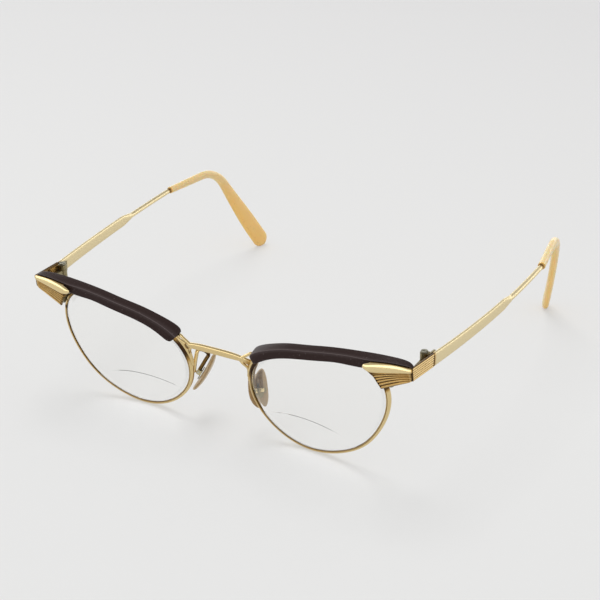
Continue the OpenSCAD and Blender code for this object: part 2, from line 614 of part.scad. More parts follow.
stay_keys = [[bar_end[0] - 2.6, bar_y + 0.1, bar_end[2] + bridge_rise * 0.8, 0.9],
    [bar_end[0] - 1.5, bar_y + 0.1, bar_end[2] + 2.25, 0.9], [bar_end[0] + 0.05, bar_y + 0.1, bar_end[2] + 3.3, 0.9],
    [bar_end[0] + 1.3, bar_y + 0.15, bar_end[2] + 4.1, 0.9], concat(stay_end, 1)];
leg_keys = [[bar_end[0] - 2.7, bar_y + 0.15, bar_end[2] + 1, 0.9], [bar_end[0] - 1.8, bar_y + 0.45, bar_end[2] - 0.2, 0.9],
    concat(rim_pt(171, wire_t + 0.75, 0.6), 0.9), concat(rim_pt(178, wire_t + 0.4, 0.75), 0.7)];
module brow_end_space() {
    at = brow_keys_end + 0.7;
    up = unit(rim_pt(at - 1, 0, 0) - rim_pt(at + 1, 0, 0));
    across = unit(cross(up, [0, 1, 0]));
    deep = cross(up, across);
    c = rim_pt(at, wire_t, 0);
    multmatrix([for (i = [0:2]) [across[i], deep[i], up[i], c[i]]]) translate([-5, -5, 0]) cube([10, 10, 5]);
}
module bridge_end() {
    difference() {
        union() {
            skin([for (i = [16:-1:0]) foot_sec(mix(foot_a[0], foot_a[1], i / 16))]);
            skin(round_bar(curve(stay_keys, 4), 1, 0.9));
            skin(round_bar(curve(leg_keys, 4), 0.9, 0.8));
        }
        brow_end_space();
    }
}
module bridge() {
    half = curve(bar_keys, 4);
    color(gold) {
        skin(round_bar(concat([for (i = [len(half) - 1:-1:1]) [-half[i][0], half[i][1], half[i][2], half[i][3]]],
            half), bridge_h, bridge_t));
        for (s = [0, 1]) mirror([s, 0, 0]) bridge_end();
    }
}

// The part's own frame: the middle of the whole frame's box, on the floor
front_y = min([for (k = concat(brow_keys, [for (i = [0:8]) end_row(i / 8)])) for (p = k) p[1]]);
back_y = max([for (s = sleeve_secs) for (p = s) p[1]]);
module placed(side) {
    translate([0, -(front_y + back_y) / 2, 0]) mirror([side, 0, 0]) children();
}
placed(0) bridge();
placed(0) eyewire();  // left_eyewire
placed(1) eyewire();  // right_eyewire
placed(0) lens();  // left_lens
placed(1) lens();  // right_lens
placed(0) brow_trim();  // left_brow_trim
placed(1) brow_trim();  // right_brow_trim
placed(0) brow_screw();  // left_brow_screw
placed(1) brow_screw();  // right_brow_screw
placed(0) endpiece();  // left_endpiece
placed(1) endpiece();  // right_endpiece
placed(0) end_block();  // left_end_block
placed(1) end_block();  // right_end_block
placed(0) closing_barrels();  // left_closing_barrels
placed(1) closing_barrels();  // right_closing_barrels
placed(0) closing_screw();  // left_closing_screw
placed(1) closing_screw();  // right_closing_screw
placed(0) front_hinge();  // left_front_hinge
placed(1) front_hinge();  // right_front_hinge
placed(0) temple_hinge();  // left_temple_hinge
placed(1) temple_hinge();  // right_temple_hinge
placed(0) hinge_screw();  // left_hinge_screw
placed(1) hinge_screw();  // right_hinge_screw
placed(0) temple_butt();  // left_temple_butt
placed(1) temple_butt();  // right_temple_butt
placed(0) temple_shaft();  // left_temple_shaft
placed(1) temple_shaft();  // right_temple_shaft
placed(0) temple_tip();  // left_temple_tip
placed(1) temple_tip();  // right_temple_tip
placed(0) pad_arm();  // left_pad_arm
placed(1) pad_arm();  // right_pad_arm
placed(0) pad_mount();  // left_pad_mount
placed(1) pad_mount();  // right_pad_mount
placed(0) nose_pad();  // left_nose_pad
placed(1) nose_pad();  // right_nose_pad
placed(0) pad_pin();  // left_pad_pin
placed(1) pad_pin();  // right_pad_pin
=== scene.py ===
import math

import bpy
import numpy as np
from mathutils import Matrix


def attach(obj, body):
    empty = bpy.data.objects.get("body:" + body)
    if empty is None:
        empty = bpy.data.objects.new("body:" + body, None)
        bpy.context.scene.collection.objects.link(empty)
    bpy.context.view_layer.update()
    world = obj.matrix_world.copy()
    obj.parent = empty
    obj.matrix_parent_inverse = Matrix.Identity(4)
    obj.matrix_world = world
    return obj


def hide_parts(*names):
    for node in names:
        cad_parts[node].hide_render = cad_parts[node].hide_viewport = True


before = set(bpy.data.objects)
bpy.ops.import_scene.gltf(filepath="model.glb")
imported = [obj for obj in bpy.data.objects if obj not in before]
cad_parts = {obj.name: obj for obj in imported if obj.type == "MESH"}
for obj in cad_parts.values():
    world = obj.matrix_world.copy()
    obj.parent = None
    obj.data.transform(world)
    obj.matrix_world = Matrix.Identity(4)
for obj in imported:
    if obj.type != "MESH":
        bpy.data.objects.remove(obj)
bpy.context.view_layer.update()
scene = bpy.context.scene

# The view: a camera above the wearer's left front corner, a short telephoto
# look down onto the table. The frame fills the middle of the square picture.
camera = bpy.data.objects.new("view", bpy.data.cameras.new("view"))
scene.collection.objects.link(camera)
camera.location = (0.195735, -0.355953, 0.221027)
camera.rotation_euler = [math.radians(a) for a in (63.3903, 0.8852, 29.0890)]
camera.data.lens = 81.1535
camera.data.sensor_width = 36
camera.data.clip_start = 0.01
scene.camera = camera
scene.view_settings.view_transform = "Standard"

# The table and the light: a pale sweep with no visible edge, even light round
# it, brighter low walls for the metal to mirror, and one large soft lamp.
table_reach, table_drop = 3, 0.00002
fade_depth, even_share = 0.45, 0.5
near_paper, far_paper = (0.795, 0.795, 0.790, 1), (0.720, 0.716, 0.716, 1)
corners = [(x * table_reach, y * table_reach, 0) for x, y in ((-1, -1), (1, -1), (1, 1), (-1, 1))]
table_mesh = bpy.data.meshes.new("table")
table_mesh.from_pydata(corners, [], [(0, 1, 2, 3)])
table = bpy.data.objects.new("table", table_mesh)
scene.collection.objects.link(table)
table.location.z = -table_drop
paper = bpy.data.materials.new("table_paper")
paper.use_nodes = True
desk = paper.node_tree
paper_bsdf = desk.nodes["Principled BSDF"]
paper_bsdf.inputs["Roughness"].default_value = 0.75
paper_bsdf.inputs["Specular IOR Level"].default_value = 0.2
place = desk.nodes.new("ShaderNodeTexCoord")
apart = desk.nodes.new("ShaderNodeSeparateXYZ")
desk.links.new(place.outputs["Object"], apart.inputs["Vector"])
far = desk.nodes.new("ShaderNodeMapRange")
far.inputs["From Min"].default_value = 0.0
far.inputs["From Max"].default_value = fade_depth
desk.links.new(apart.outputs["Y"], far.inputs["Value"])
tone = desk.nodes.new("ShaderNodeMix")
tone.data_type = "RGBA"
tone.inputs["A"].default_value = near_paper
tone.inputs["B"].default_value = far_paper
desk.links.new(far.outputs["Result"], tone.inputs["Factor"])
desk.links.new(tone.outputs["Result"], paper_bsdf.inputs["Base Color"])
even_paper = desk.nodes.new("ShaderNodeEmission")
desk.links.new(tone.outputs["Result"], even_paper.inputs["Color"])
rays = desk.nodes.new("ShaderNodeLightPath")
seen = desk.nodes.new("ShaderNodeMath")
seen.operation = "MAXIMUM"
desk.links.new(rays.outputs["Is Camera Ray"], seen.inputs[0])
desk.links.new(rays.outputs["Is Transmission Ray"], seen.inputs[1])
seen_too = desk.nodes.new("ShaderNodeMath")
seen_too.operation = "MAXIMUM"
desk.links.new(seen.outputs[0], seen_too.inputs[0])
desk.links.new(rays.outputs["Is Glossy Ray"], seen_too.inputs[1])
share = desk.nodes.new("ShaderNodeMath")
share.operation = "MULTIPLY"
share.inputs[1].default_value = even_share
desk.links.new(seen_too.outputs[0], share.inputs[0])
both = desk.nodes.new("ShaderNodeMixShader")
desk.links.new(share.outputs[0], both.inputs["Fac"])
desk.links.new(paper_bsdf.outputs["BSDF"], both.inputs[1])
desk.links.new(even_paper.outputs["Emission"], both.inputs[2])
desk.links.new(both.outputs["Shader"], desk.nodes["Material Output"].inputs["Surface"])
table_mesh.materials.append(paper)

# Round the table: even light for all that is rough, and for what mirrors, walls
# that are bright up to a quarter of their height and fall off to a dark ceiling.
wall_floor, wall_ceiling = 0.7, 0.2
wall_bands = ((0.06, 1.0), (0.24, 1.0), (0.36, 0.35), (0.5, 0.22), (0.8, 0.2))
room = bpy.data.worlds.new("room")
scene.world = room
room.use_nodes = True
sky = room.node_tree
sky_out = sky.nodes["World Output"]
even = sky.nodes["Background"]
even.inputs["Color"].default_value = (1.0, 1.0, 1.0, 1)
even.inputs["Strength"].default_value = 0.74
mirrored = sky.nodes.new("ShaderNodeBackground")
mirrored.inputs["Strength"].default_value = 2.3
way = sky.nodes.new("ShaderNodeTexCoord")
split = sky.nodes.new("ShaderNodeSeparateXYZ")
bands = sky.nodes.new("ShaderNodeValToRGB")
stops = bands.color_ramp.elements
stops[0].color = (wall_floor, wall_floor, wall_floor, 1)
stops[-1].color = (wall_ceiling, wall_ceiling, wall_ceiling, 1)
for height, shade in wall_bands:
    stops.new(height).color = (shade, shade, shade, 1)
sky_rays = sky.nodes.new("ShaderNodeLightPath")
choose = sky.nodes.new("ShaderNodeMixShader")
sky.links.new(way.outputs["Generated"], split.inputs["Vector"])
sky.links.new(split.outputs["Z"], bands.inputs["Fac"])
sky.links.new(bands.outputs["Color"], mirrored.inputs["Color"])
no_glass = sky.nodes.new("ShaderNodeMath")
no_glass.operation = "LESS_THAN"
no_glass.inputs[1].default_value = 0.5
sky.links.new(sky_rays.outputs["Transmission Depth"], no_glass.inputs[0])
in_mirror = sky.nodes.new("ShaderNodeMath")
in_mirror.operation = "MULTIPLY"
sky.links.new(sky_rays.outputs["Is Glossy Ray"], in_mirror.inputs[0])
sky.links.new(no_glass.outputs[0], in_mirror.inputs[1])
sky.links.new(in_mirror.outputs[0], choose.inputs["Fac"])
sky.links.new(even.outputs["Background"], choose.inputs[1])
sky.links.new(mirrored.outputs["Background"], choose.inputs[2])
sky.links.new(choose.outputs["Shader"], sky_out.inputs["Surface"])

softbox = bpy.data.objects.new("softbox", bpy.data.lights.new("softbox", "AREA"))
scene.collection.objects.link(softbox)
softbox.data.shape = "DISK"
softbox.data.size = 1.1
softbox.data.energy = 12
softbox.location = (-0.5, 0.5, 1.7)
softbox.rotation_euler = (math.radians(-16), math.radians(-16), 0)
softbox.visible_glossy = False

# The eyewires: half-hard gold-filled wire, rolled with a groove for the lens
# and a fine line along its front, bent round a former and closed at the corner.
# Lengths are in mm from here on. Angles of the rim run in degrees from the temple
# side up over the top, and the left half of the frame is made and then mirrored.
MM = 0.001
tilt = math.radians(8.6)
base_r = 90.0
eye_w, eye_h, bridge_w = 44.6, 37.0, 22.4
long_axis, corner_axis = math.radians(22.5), math.radians(37.0)
wire_t, wire_d, groove_d, line_off = 1.15, 1.5, 0.4, 0.34
joint_angle, joint_gap = 31, 0.3
# Where painted shade lies on the wire: a band below the endpiece, and round the bridge's foot, whose angle
# also places the bar's end.
band_angle, band_w = 24.8, 1.6
foot_angle, foot_shade_w = 165.0, 11
eye_x = (bridge_w + eye_w) / 2


def lobe_curve(angle):
    """Points of the opening at each angle: a circle, drawn out by cosines towards its corner."""
    a = np.radians(angle)
    r = 1 + 0.14 * np.cos(2 * (a - long_axis))
    for waves, share in ((3, 0.048), (4, 0.016), (5, 0.012)):
        r = r + share * np.cos(waves * (a - corner_axis))
    return np.stack([r * np.cos(a), r * np.sin(a)], -1)


def opening(angle):
    """The opening's outline in mm, the lobe curve scaled to the stated width and height."""
    whole = lobe_curve(np.arange(0, 360, 2.0))
    low, high = whole.min(0), whole.max(0)
    return (lobe_curve(angle) - (low + high) / 2) * np.array([eye_w, eye_h]) / (high - low)


def on_lens(uv, n):
    """Points in mm at lens coordinates uv and n behind the wire's front: a leaning dish of radius base_r."""
    back = n + (uv ** 2).sum(-1) / (2 * base_r)
    return np.stack([uv[..., 0] + eye_x, -uv[..., 1] * np.sin(tilt) + back * np.cos(tilt),
                     uv[..., 1] * np.cos(tilt) + back * np.sin(tilt)], -1)


def rim(angle, off, n):
    """A point of the rim in mm: off outwards from the opening's edge, n behind the wire's front."""
    ahead = opening(angle + 1) - opening(angle - 1)
    ahead = ahead / np.linalg.norm(ahead, axis=-1, keepdims=True)
    out = np.stack([ahead[..., 1], -ahead[..., 0]], -1)
    p = on_lens(opening(angle) + np.asarray(off)[..., None] * out, n)
    return p + np.array([0, 0, eye_low])


# The wire's profile, each point as its distance outwards from the opening and back from the front.
wire_section = np.array([[0, 0.12], [0.14, 0], [0.26, 0.02], [line_off, 0.18], [0.42, 0.02],
                         [wire_t - 0.3, 0.06], [wire_t, 0.4], [wire_t, wire_d - 0.4],
                         [wire_t - 0.3, wire_d], [0.2, wire_d], [0, wire_d - 0.15],
                         [0, wire_d / 2 + 0.3], [groove_d, wire_d / 2 + 0.15],
                         [groove_d, wire_d / 2 - 0.15], [0, wire_d / 2 - 0.3]])
# The wire's lowest point stands on the table, which gives the height of the lenses' middle.
eye_low = 0.0
turns = np.arange(0, 360, 6.0)[:, None]
eye_low = -rim(turns + 0 * wire_section[None, :, 0], 0 * turns + wire_section[None, :, 0],
               0 * turns + wire_section[None, :, 1])[..., 2].min()
# Y is 0 at the wire's front here, and in the middle of the whole frame in the solids.
shift_y = -63.2651


def rounded(loop, radius, steps=4):
    """A closed outline whose corners are replaced by short parabolic arcs.
    Each arc starts a radius away on each side, or at 0.45 of a shorter edge."""
    back, ahead = np.roll(loop, 1, axis=-2), np.roll(loop, -1, axis=-2)
    ends = []
    for other in (back, ahead):
        edge = other - loop
        length = np.maximum(np.linalg.norm(edge, axis=-1, keepdims=True), 1e-9)
        ends.append(loop + edge * np.minimum(np.reshape(radius, (-1, 1)) / length, 0.45))
    t = np.linspace(0, 1, steps).reshape(steps, 1)
    first, last, corner = (p[..., None, :] for p in (ends[0], ends[1], loop))
    arcs = (1 - t) ** 2 * first + 2 * t * (1 - t) * corner + t ** 2 * last
    return arcs.reshape(arcs.shape[:-3] + (-1, arcs.shape[-1]))


def domed(grid, first, last, steps=6):
    """A row of closed sections with a quarter-ellipse dome of the given height added at each end."""
    a = np.radians(np.linspace(90, 0, steps, endpoint=False))[:, None, None]

    def dome(sec, before, height):
        way_out = (sec - before).mean(0)
        way_out = way_out / np.linalg.norm(way_out)
        mid = sec.mean(0)
        return mid + (sec - mid) * np.maximum(np.cos(a), 0.02) + way_out * height * np.sin(a)

    rows = [grid]
    if first:
        rows.insert(0, dome(grid[0], grid[1], first))
    if last:
        rows.append(dome(grid[-1], grid[-2], last)[::-1])
    return np.concatenate(rows)


def put(name, grid, body, material, ring=False, painted_light_and_tone=None, replaces=(), mirrored=False):
    """A piece's mesh from a grid of points in mm, rows by section points, tied to its body.
    Sections are closed, and so are the rows if ring. Otherwise each end is closed by a fan. Faces are
    turned outwards by the sign of the volume. The value given for each point says how far its colour goes
    over to the finish's other tints: painted shade and painted highlights, and some plain tone."""
    g = np.array(grid, float)
    g[..., 1] += shift_y
    if mirrored:
        g[..., 0] *= -1
    rows, cols = g.shape[:2]
    i = np.arange(rows if ring else rows - 1)[:, None]
    j = np.arange(cols)[None, :]
    i2, j2 = (i + 1) % rows, (j + 1) % cols
    quads = np.stack([i * cols + j, i * cols + j2, i2 * cols + j2, i2 * cols + j], -1).reshape(-1, 4)
    verts = g.reshape(-1, 3)
    fans = np.zeros((0, 3), int)
    if not ring:
        verts = np.concatenate([verts, g[:1].mean(1), g[-1:].mean(1)])
        c = np.arange(cols)
        c2 = (c + 1) % cols
        last = (rows - 1) * cols
        fans = np.concatenate([np.stack([c2, c, 0 * c + rows * cols], -1),
                               np.stack([last + c, last + c2, 0 * c + rows * cols + 1], -1)])
    tris = np.concatenate([quads[:, [0, 1, 2]], quads[:, [0, 2, 3]], fans])
    a, b, c3 = (verts[tris[:, k]] for k in range(3))
    if np.einsum("ij,ij->i", a, np.cross(b, c3)).sum() < 0:
        quads, fans = quads[:, ::-1], fans[:, ::-1]
    loops = np.concatenate([quads.ravel(), fans.ravel()]).astype(np.int32)
    sizes = np.concatenate([np.full(len(quads), 4), np.full(len(fans), 3)]).astype(np.int32)
    mesh = bpy.data.meshes.new(name)
    mesh.vertices.add(len(verts))
    mesh.vertices.foreach_set("co", (verts * MM).astype(np.float32).ravel())
    mesh.loops.add(len(loops))
    mesh.loops.foreach_set("vertex_index", loops)
    mesh.polygons.add(len(sizes))
    starts = np.concatenate([[0], np.cumsum(sizes)[:-1]])
    mesh.polygons.foreach_set("loop_start", starts.astype(np.int32))
    mesh.polygons.foreach_set("loop_total", sizes)
    mesh.polygons.foreach_set("use_smooth", np.ones(len(sizes), bool))
    mesh.update(calc_edges=True)
    mesh.validate()
    dark = mesh.attributes.new("painted_light_and_tone", "FLOAT", "POINT")
    values = np.zeros(len(verts), np.float32)
    if painted_light_and_tone is not None:
        values[:rows * cols] = np.broadcast_to(painted_light_and_tone, (rows, cols)).ravel()
    dark.data.foreach_set("value", values)
    mesh.materials.append(material)
    piece = bpy.data.objects.new(name, mesh)
    scene.collection.objects.link(piece)
    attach(piece, body)
    if replaces:
        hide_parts(*replaces)
    return piece


def marks_and_light_group():
    """Handling marks shared by every finish: cloudy smears, fine scuffs and dark specks, together with the
    painted shade and painted highlights given per point. These add up; up to a half they tint towards Deep,
    from there to the third colour."""
    group = bpy.data.node_groups.new("handling_marks_and_painted_light", "ShaderNodeTree")
    colour, number = "NodeSocketColor", "NodeSocketFloat"
    speck_from, speck_full, speck_dark = 0.62, 0.74, 0.35
    finer_by, dull_by_dirt_and_light = 6.0, 0.3
    for name in ("Colour", "Deep", "Far_tint"):
        group.interface.new_socket(name=name, in_out="INPUT", socket_type=colour)
    for name, usual in (("Rough", 0.2), ("Smear", 0.1), ("Size", 400.0)):
        group.interface.new_socket(name=name, in_out="INPUT", socket_type=number).default_value = usual
    for name, kind in (("Colour", colour), ("Rough", number), ("Height", number)):
        group.interface.new_socket(name=name, in_out="OUTPUT", socket_type=kind)
    n, link = group.nodes, group.links
    into, out = n.new("NodeGroupInput"), n.new("NodeGroupOutput")
    where = n.new("ShaderNodeTexCoord")
    cloud = n.new("ShaderNodeTexNoise")
    cloud.inputs["Detail"].default_value = 3
    fine = n.new("ShaderNodeTexNoise")
    fine.inputs["Detail"].default_value = 5
    fine.inputs["Roughness"].default_value = 0.65
    finer = n.new("ShaderNodeMath")
    finer.operation = "MULTIPLY"
    finer.inputs[1].default_value = finer_by
    for tex in (cloud, fine):
        link.new(where.outputs["Object"], tex.inputs["Vector"])
    link.new(into.outputs["Size"], cloud.inputs["Scale"])
    link.new(into.outputs["Size"], finer.inputs[0])
    link.new(finer.outputs[0], fine.inputs["Scale"])
    painted_light_input = n.new("ShaderNodeAttribute")
    painted_light_input.attribute_name = "painted_light_and_tone"
    spots = n.new("ShaderNodeMapRange")
    spots.inputs["From Min"].default_value = speck_from
    spots.inputs["From Max"].default_value = speck_full
    spots.inputs["To Max"].default_value = speck_dark
    link.new(fine.outputs["Fac"], spots.inputs["Value"])
    dirt_and_painted_light = n.new("ShaderNodeMath")
    dirt_and_painted_light.operation = "ADD"
    dirt_and_painted_light.use_clamp = True
    link.new(painted_light_input.outputs["Fac"], dirt_and_painted_light.inputs[0])
    link.new(spots.outputs["Result"], dirt_and_painted_light.inputs[1])
    before = into.outputs["Colour"]
    for start, goal in ((0.0, "Deep"), (0.5, "Far_tint")):
        part = n.new("ShaderNodeMapRange")
        part.inputs["From Min"].default_value = start
        part.inputs["From Max"].default_value = start + 0.5
        link.new(dirt_and_painted_light.outputs[0], part.inputs["Value"])
        mix = n.new("ShaderNodeMix")
        mix.data_type = "RGBA"
        link.new(part.outputs["Result"], mix.inputs["Factor"])
        link.new(before, mix.inputs["A"])
        link.new(into.outputs[goal], mix.inputs["B"])
        before = mix.outputs["Result"]
    link.new(before, out.inputs["Colour"])
    smear = n.new("ShaderNodeMath")
    smear.operation = "MULTIPLY_ADD"
    link.new(cloud.outputs["Fac"], smear.inputs[0])
    link.new(into.outputs["Smear"], smear.inputs[1])
    link.new(into.outputs["Rough"], smear.inputs[2])
    dull = n.new("ShaderNodeMath")
    dull.operation = "MULTIPLY_ADD"
    dull.inputs[1].default_value = dull_by_dirt_and_light
    link.new(dirt_and_painted_light.outputs[0], dull.inputs[0])
    link.new(smear.outputs[0], dull.inputs[2])
    link.new(dull.outputs[0], out.inputs["Rough"])
    link.new(fine.outputs["Fac"], out.inputs["Height"])
    return group


marks = marks_and_light_group()


def finish(name, colour, deep, far_colour, rough, smear, size, bump, **fixed):
    """A material with the handling marks and the painted light and shade on its colour and gloss, the marks
    on its relief, and fixed values on its own shader. Size is how many marks there are to the metre, and
    bump how high they stand, in metres."""
    m = bpy.data.materials.new(name)
    m.use_nodes = True
    t = m.node_tree
    shader = t.nodes["Principled BSDF"]
    marks_and_light_node = t.nodes.new("ShaderNodeGroup")
    marks_and_light_node.node_tree = marks
    marks_and_light_node.inputs["Colour"].default_value = (*colour, 1)
    marks_and_light_node.inputs["Deep"].default_value = (*deep, 1)
    marks_and_light_node.inputs["Far_tint"].default_value = (*far_colour, 1)
    marks_and_light_node.inputs["Rough"].default_value = rough
    marks_and_light_node.inputs["Smear"].default_value = smear
    marks_and_light_node.inputs["Size"].default_value = size
    relief = t.nodes.new("ShaderNodeBump")
    relief.inputs["Strength"].default_value = 1.0
    relief.inputs["Distance"].default_value = bump
    t.links.new(marks_and_light_node.outputs["Colour"], shader.inputs["Base Color"])
    t.links.new(marks_and_light_node.outputs["Rough"], shader.inputs["Roughness"])
    t.links.new(marks_and_light_node.outputs["Height"], relief.inputs["Height"])
    t.links.new(relief.outputs["Normal"], shader.inputs["Normal"])
    for socket, value in fixed.items():
        shader.inputs[socket.replace("_", " ")].default_value = value
    return m


# Gold's two further tints: painted shade in grooves, joins and hidden sides, and dark specks.
gold_deep, gold_shade_and_speck_tint = (0.47, 0.28, 0.08), (0.05, 0.026, 0.012)
gold = finish("gold_filled", (0.80, 0.64, 0.34), gold_deep, gold_shade_and_speck_tint, rough=0.13, smear=0.12, size=350,
              bump=0.000008, Metallic=1.0)

# Painted shade on the wire: its fine line, the edge along the lens, a narrow band
# below the endpiece, and where the bridge's foot is soldered on.
sweep = np.linspace(joint_angle + joint_gap, joint_angle + 360 - joint_gap, 300)[:, None]
wire_loop = rounded(wire_section, 0.12, 4)
off, deep = wire_loop[:, 0], wire_loop[:, 1]
line_shade = np.clip(1 - np.abs(off - line_off) / 0.12, 0, 1) * (deep < 0.4)
lens_edge_shade = (off < 0.12) & (deep < 0.8)
band_shade = np.exp(-((sweep - 360 - band_angle) / band_w) ** 2)
foot_shade = np.exp(-((sweep - foot_angle) / foot_shade_w) ** 4) * (deep < 0.45)
wire_shade = np.clip(0.08 + line_shade + 0.7 * lens_edge_shade + band_shade + 0.95 * foot_shade, 0, 1)
eyewire = rim(sweep + 0 * off, 0 * sweep + off, 0 * sweep + deep)
for side in ("left", "right"):
    put(f"{side}_eyewire_wire", eyewire, "front", gold, painted_light_and_tone=wire_shade,
        replaces=(f"{side}_eyewire",), mirrored=side == "right")

# The lenses: ground and polished meniscus glass, 1.5 mm thick, bevelled at the
# edge. The near field is a low ledge on the back whose top edge shows faintly.
lens_t, edge_half, bevel_share, edge_play = 1.5, 0.45, 0.1, 0.03
reading_r, reading_drop, reading_inset = 27.0, 6.6, 4.8
ledge_h, ledge_run = 0.1, 0.16
ledge_from, ledge_rise, ledge_to, ledge_fall = -19, 6, 11, 12
glass = bpy.data.materials.new("lens_glass")
glass.use_nodes = True
tree = glass.node_tree
clear = tree.nodes["Principled BSDF"]
clear.inputs["Base Color"].default_value = (0.982, 0.980, 0.970, 1)
clear.inputs["Roughness"].default_value = 0.0
clear.inputs["IOR"].default_value = 1.5
clear.inputs["Transmission Weight"].default_value = 1.0
clear.inputs["Specular IOR Level"].default_value = 0.25
see_through = tree.nodes.new("ShaderNodeBsdfTransparent")
see_through.inputs["Color"].default_value = (0.985, 0.985, 0.985, 1)
lens_rays = tree.nodes.new("ShaderNodeLightPath")
pick = tree.nodes.new("ShaderNodeMixShader")
tree.links.new(lens_rays.outputs["Is Shadow Ray"], pick.inputs["Fac"])
tree.links.new(clear.outputs["BSDF"], pick.inputs[1])
tree.links.new(see_through.outputs["BSDF"], pick.inputs[2])
tree.links.new(pick.outputs["Shader"], tree.nodes["Material Output"].inputs["Surface"])


def eased(t):
    """Smooth step: 0 below 0, 1 above 1, level at both ends."""
    t = np.clip(t, 0, 1)
    return t * t * (3 - 2 * t)


def lens_grid(columns=170, rows=24):
    """Loops round the lens, one for each upright slice: down the front sphere, and up the back one with
    its ledge, whose height fades out at both ends. Both spheres draw together over the last tenth of the
    radius, as the ground bevel does."""
    degrees = np.arange(0, 360, 0.5)
    fine_edge = opening(degrees)
    around = fine_edge - edge_play * fine_edge / np.linalg.norm(fine_edge, axis=1, keepdims=True)
    u = np.cos(np.linspace(np.pi, 0, columns)) * 0.5
    u = (around[:, 0].min() + 0.01) + (u + 0.5) * (np.ptp(around[:, 0]) - 0.02)
    left, right = around[:, 0].argmin(), around[:, 0].argmax()
    order = np.roll(around, -right, axis=0)
    k = (left - right) % len(around)
    upper, lower = order[:k + 1][::-1], order[k:]
    top = np.interp(u, upper[:, 0], upper[:, 1])
    low = np.interp(u, lower[:, 0], lower[:, 1])
    arc = -reading_drop - reading_r + np.sqrt(np.maximum(reading_r ** 2 - (u + reading_inset) ** 2, 1.0))
    arc = np.clip(arc, low, top)
    s = (1 - np.cos(np.linspace(0, np.pi, 2 * rows))) / 2
    front_v = top[:, None] + (low - top)[:, None] * s
    part = (1 - np.cos(np.linspace(0, np.pi, rows))) / 2
    back_low = low[:, None] + (arc - low)[:, None] * part
    over = np.minimum(arc + ledge_run, top)
    back_high = over[:, None] + (top - over)[:, None] * part
    v = np.concatenate([front_v, back_low, back_high], 1)
    step = np.concatenate([np.zeros(2 * rows), np.full(rows, ledge_h), np.zeros(rows)])
    back = np.concatenate([np.zeros(2 * rows, bool), np.ones(2 * rows, bool)])
    step = step * eased((u[:, None] - ledge_from) / ledge_rise) * eased((ledge_to - u[:, None]) / ledge_fall)
    r2 = u[:, None] ** 2 + v ** 2
    at = np.degrees(np.arctan2(v, u[:, None] + 0 * v)) % 360
    polar = np.degrees(np.arctan2(around[:, 1], around[:, 0])) % 360
    turn = polar.argsort()
    limit = np.interp(at, polar[turn], np.linalg.norm(around, axis=1)[turn], period=360)
    full = eased((1 - np.sqrt(r2) / limit) / bevel_share)
    half = edge_half + (lens_t / 2 - edge_half) * full
    middle = base_r - np.sqrt(base_r ** 2 - r2)
    n = wire_d / 2 + middle + np.where(back, half + step * full, -half)
    return np.stack([u[:, None] + eye_x + 0 * v, -v * np.sin(tilt) + n * np.cos(tilt),
                     eye_low + v * np.cos(tilt) + n * np.sin(tilt)], -1)


lens = lens_grid()
for side in ("left", "right"):
    put(f"{side}_lens_glass", lens, "front", glass, replaces=(f"{side}_lens",),
        mirrored=side == "right")

# The bridge: a flat gold-filled bar whose ends turn back onto a long foot on each
# eyewire, with a stay up to the brow trim and a leg down the wire, all soldered.


def along(points, steps):
    """A smooth curve through rows of points, several steps from one row to the next: each stretch is the
    cubic whose slope at a row is half the way from the row before to the row after."""
    p = np.asarray(points, float)
    before = np.concatenate([p[:1], p[:-2]])
    after = np.concatenate([p[2:], p[-1:]])
    a, b, c, d = before, p[:-1], p[1:], after
    t = (np.arange(steps) / steps).reshape((1, steps) + (1,) * (p.ndim - 1))
    a, b, c, d = (x[:, None] for x in (a, b, c, d))
    square, cube = 2 * a - 5 * b + 4 * c - d, 3 * b - a - 3 * c + d
    rows = 0.5 * (2 * b + (c - a) * t + square * t ** 2 + cube * t ** 3)
    return np.concatenate([rows.reshape((-1,) + p.shape[1:]), p[-1:]])


def unit(v):
    """Directions of length one."""
    return v / np.linalg.norm(v, axis=-1, keepdims=True)


def sections(centre, heading, twist, thick, wide, power, sides=32):
    """Superellipses |x|^p + |y|^p = 1, square to the heading: thick along the twist's direction and wide
    across it, p being the power."""
    flat = np.stack([np.cos(twist), np.sin(twist), 0 * twist], -1)
    across = unit(np.cross(np.cross(heading, flat), heading))
    up = np.cross(across, heading)
    a = np.radians((np.arange(sides) + 0.5) * 360 / sides)[None, :, None]
    thick, wide, power = (np.asarray(v, float).reshape(-1, 1, 1) for v in (thick, wide, power))
    k = (np.abs(np.cos(a)) ** power + np.abs(np.sin(a)) ** power) ** (-1 / power)
    x, y = thick / 2 * k * np.cos(a), wide / 2 * k * np.sin(a)
    return centre[:, None] + across[:, None] * x + up[:, None] * y


def round_bar(path, high, thick, power=3.0):
    """A bar along a path of x, y, z and a height factor; its thickness follows the root of that factor."""
    k = path[:, 3]
    heading = unit(np.gradient(path[:, :3], axis=0))
    return sections(path[:, :3], heading, np.full(len(k), np.pi / 2), thick * np.sqrt(k), high * k,
                    power + 0 * k)


bar_y, bridge_rise, bridge_dull = 1.2, 1.8, 0.12
bar_h, bar_t, stay_h, stay_t, leg_h, leg_t = 2.2, 1.2, 1.0, 0.9, 0.9, 0.8
foot_from, foot_to = 155.2, 181
bar_end = rim(np.array(foot_angle), wire_t + 0.85, wire_d / 2)
bar_keys = [[share * bar_end[0], bar_y + (bar_end[1] - bar_y) * back, bar_end[2] + bridge_rise * drop, h]
            for share, back, drop, h in ((0, 0, 1, 1), (0.42, 0.04, 0.95, 1), (0.68, 0.08, 0.87, 0.88),
                                         (0.85, 0.15, 0.74, 0.75), (1, 1, 0, 0.95))]
half = along(bar_keys, 12)
bar_path = np.concatenate([half[:0:-1] * [-1, 1, 1, 1], half])
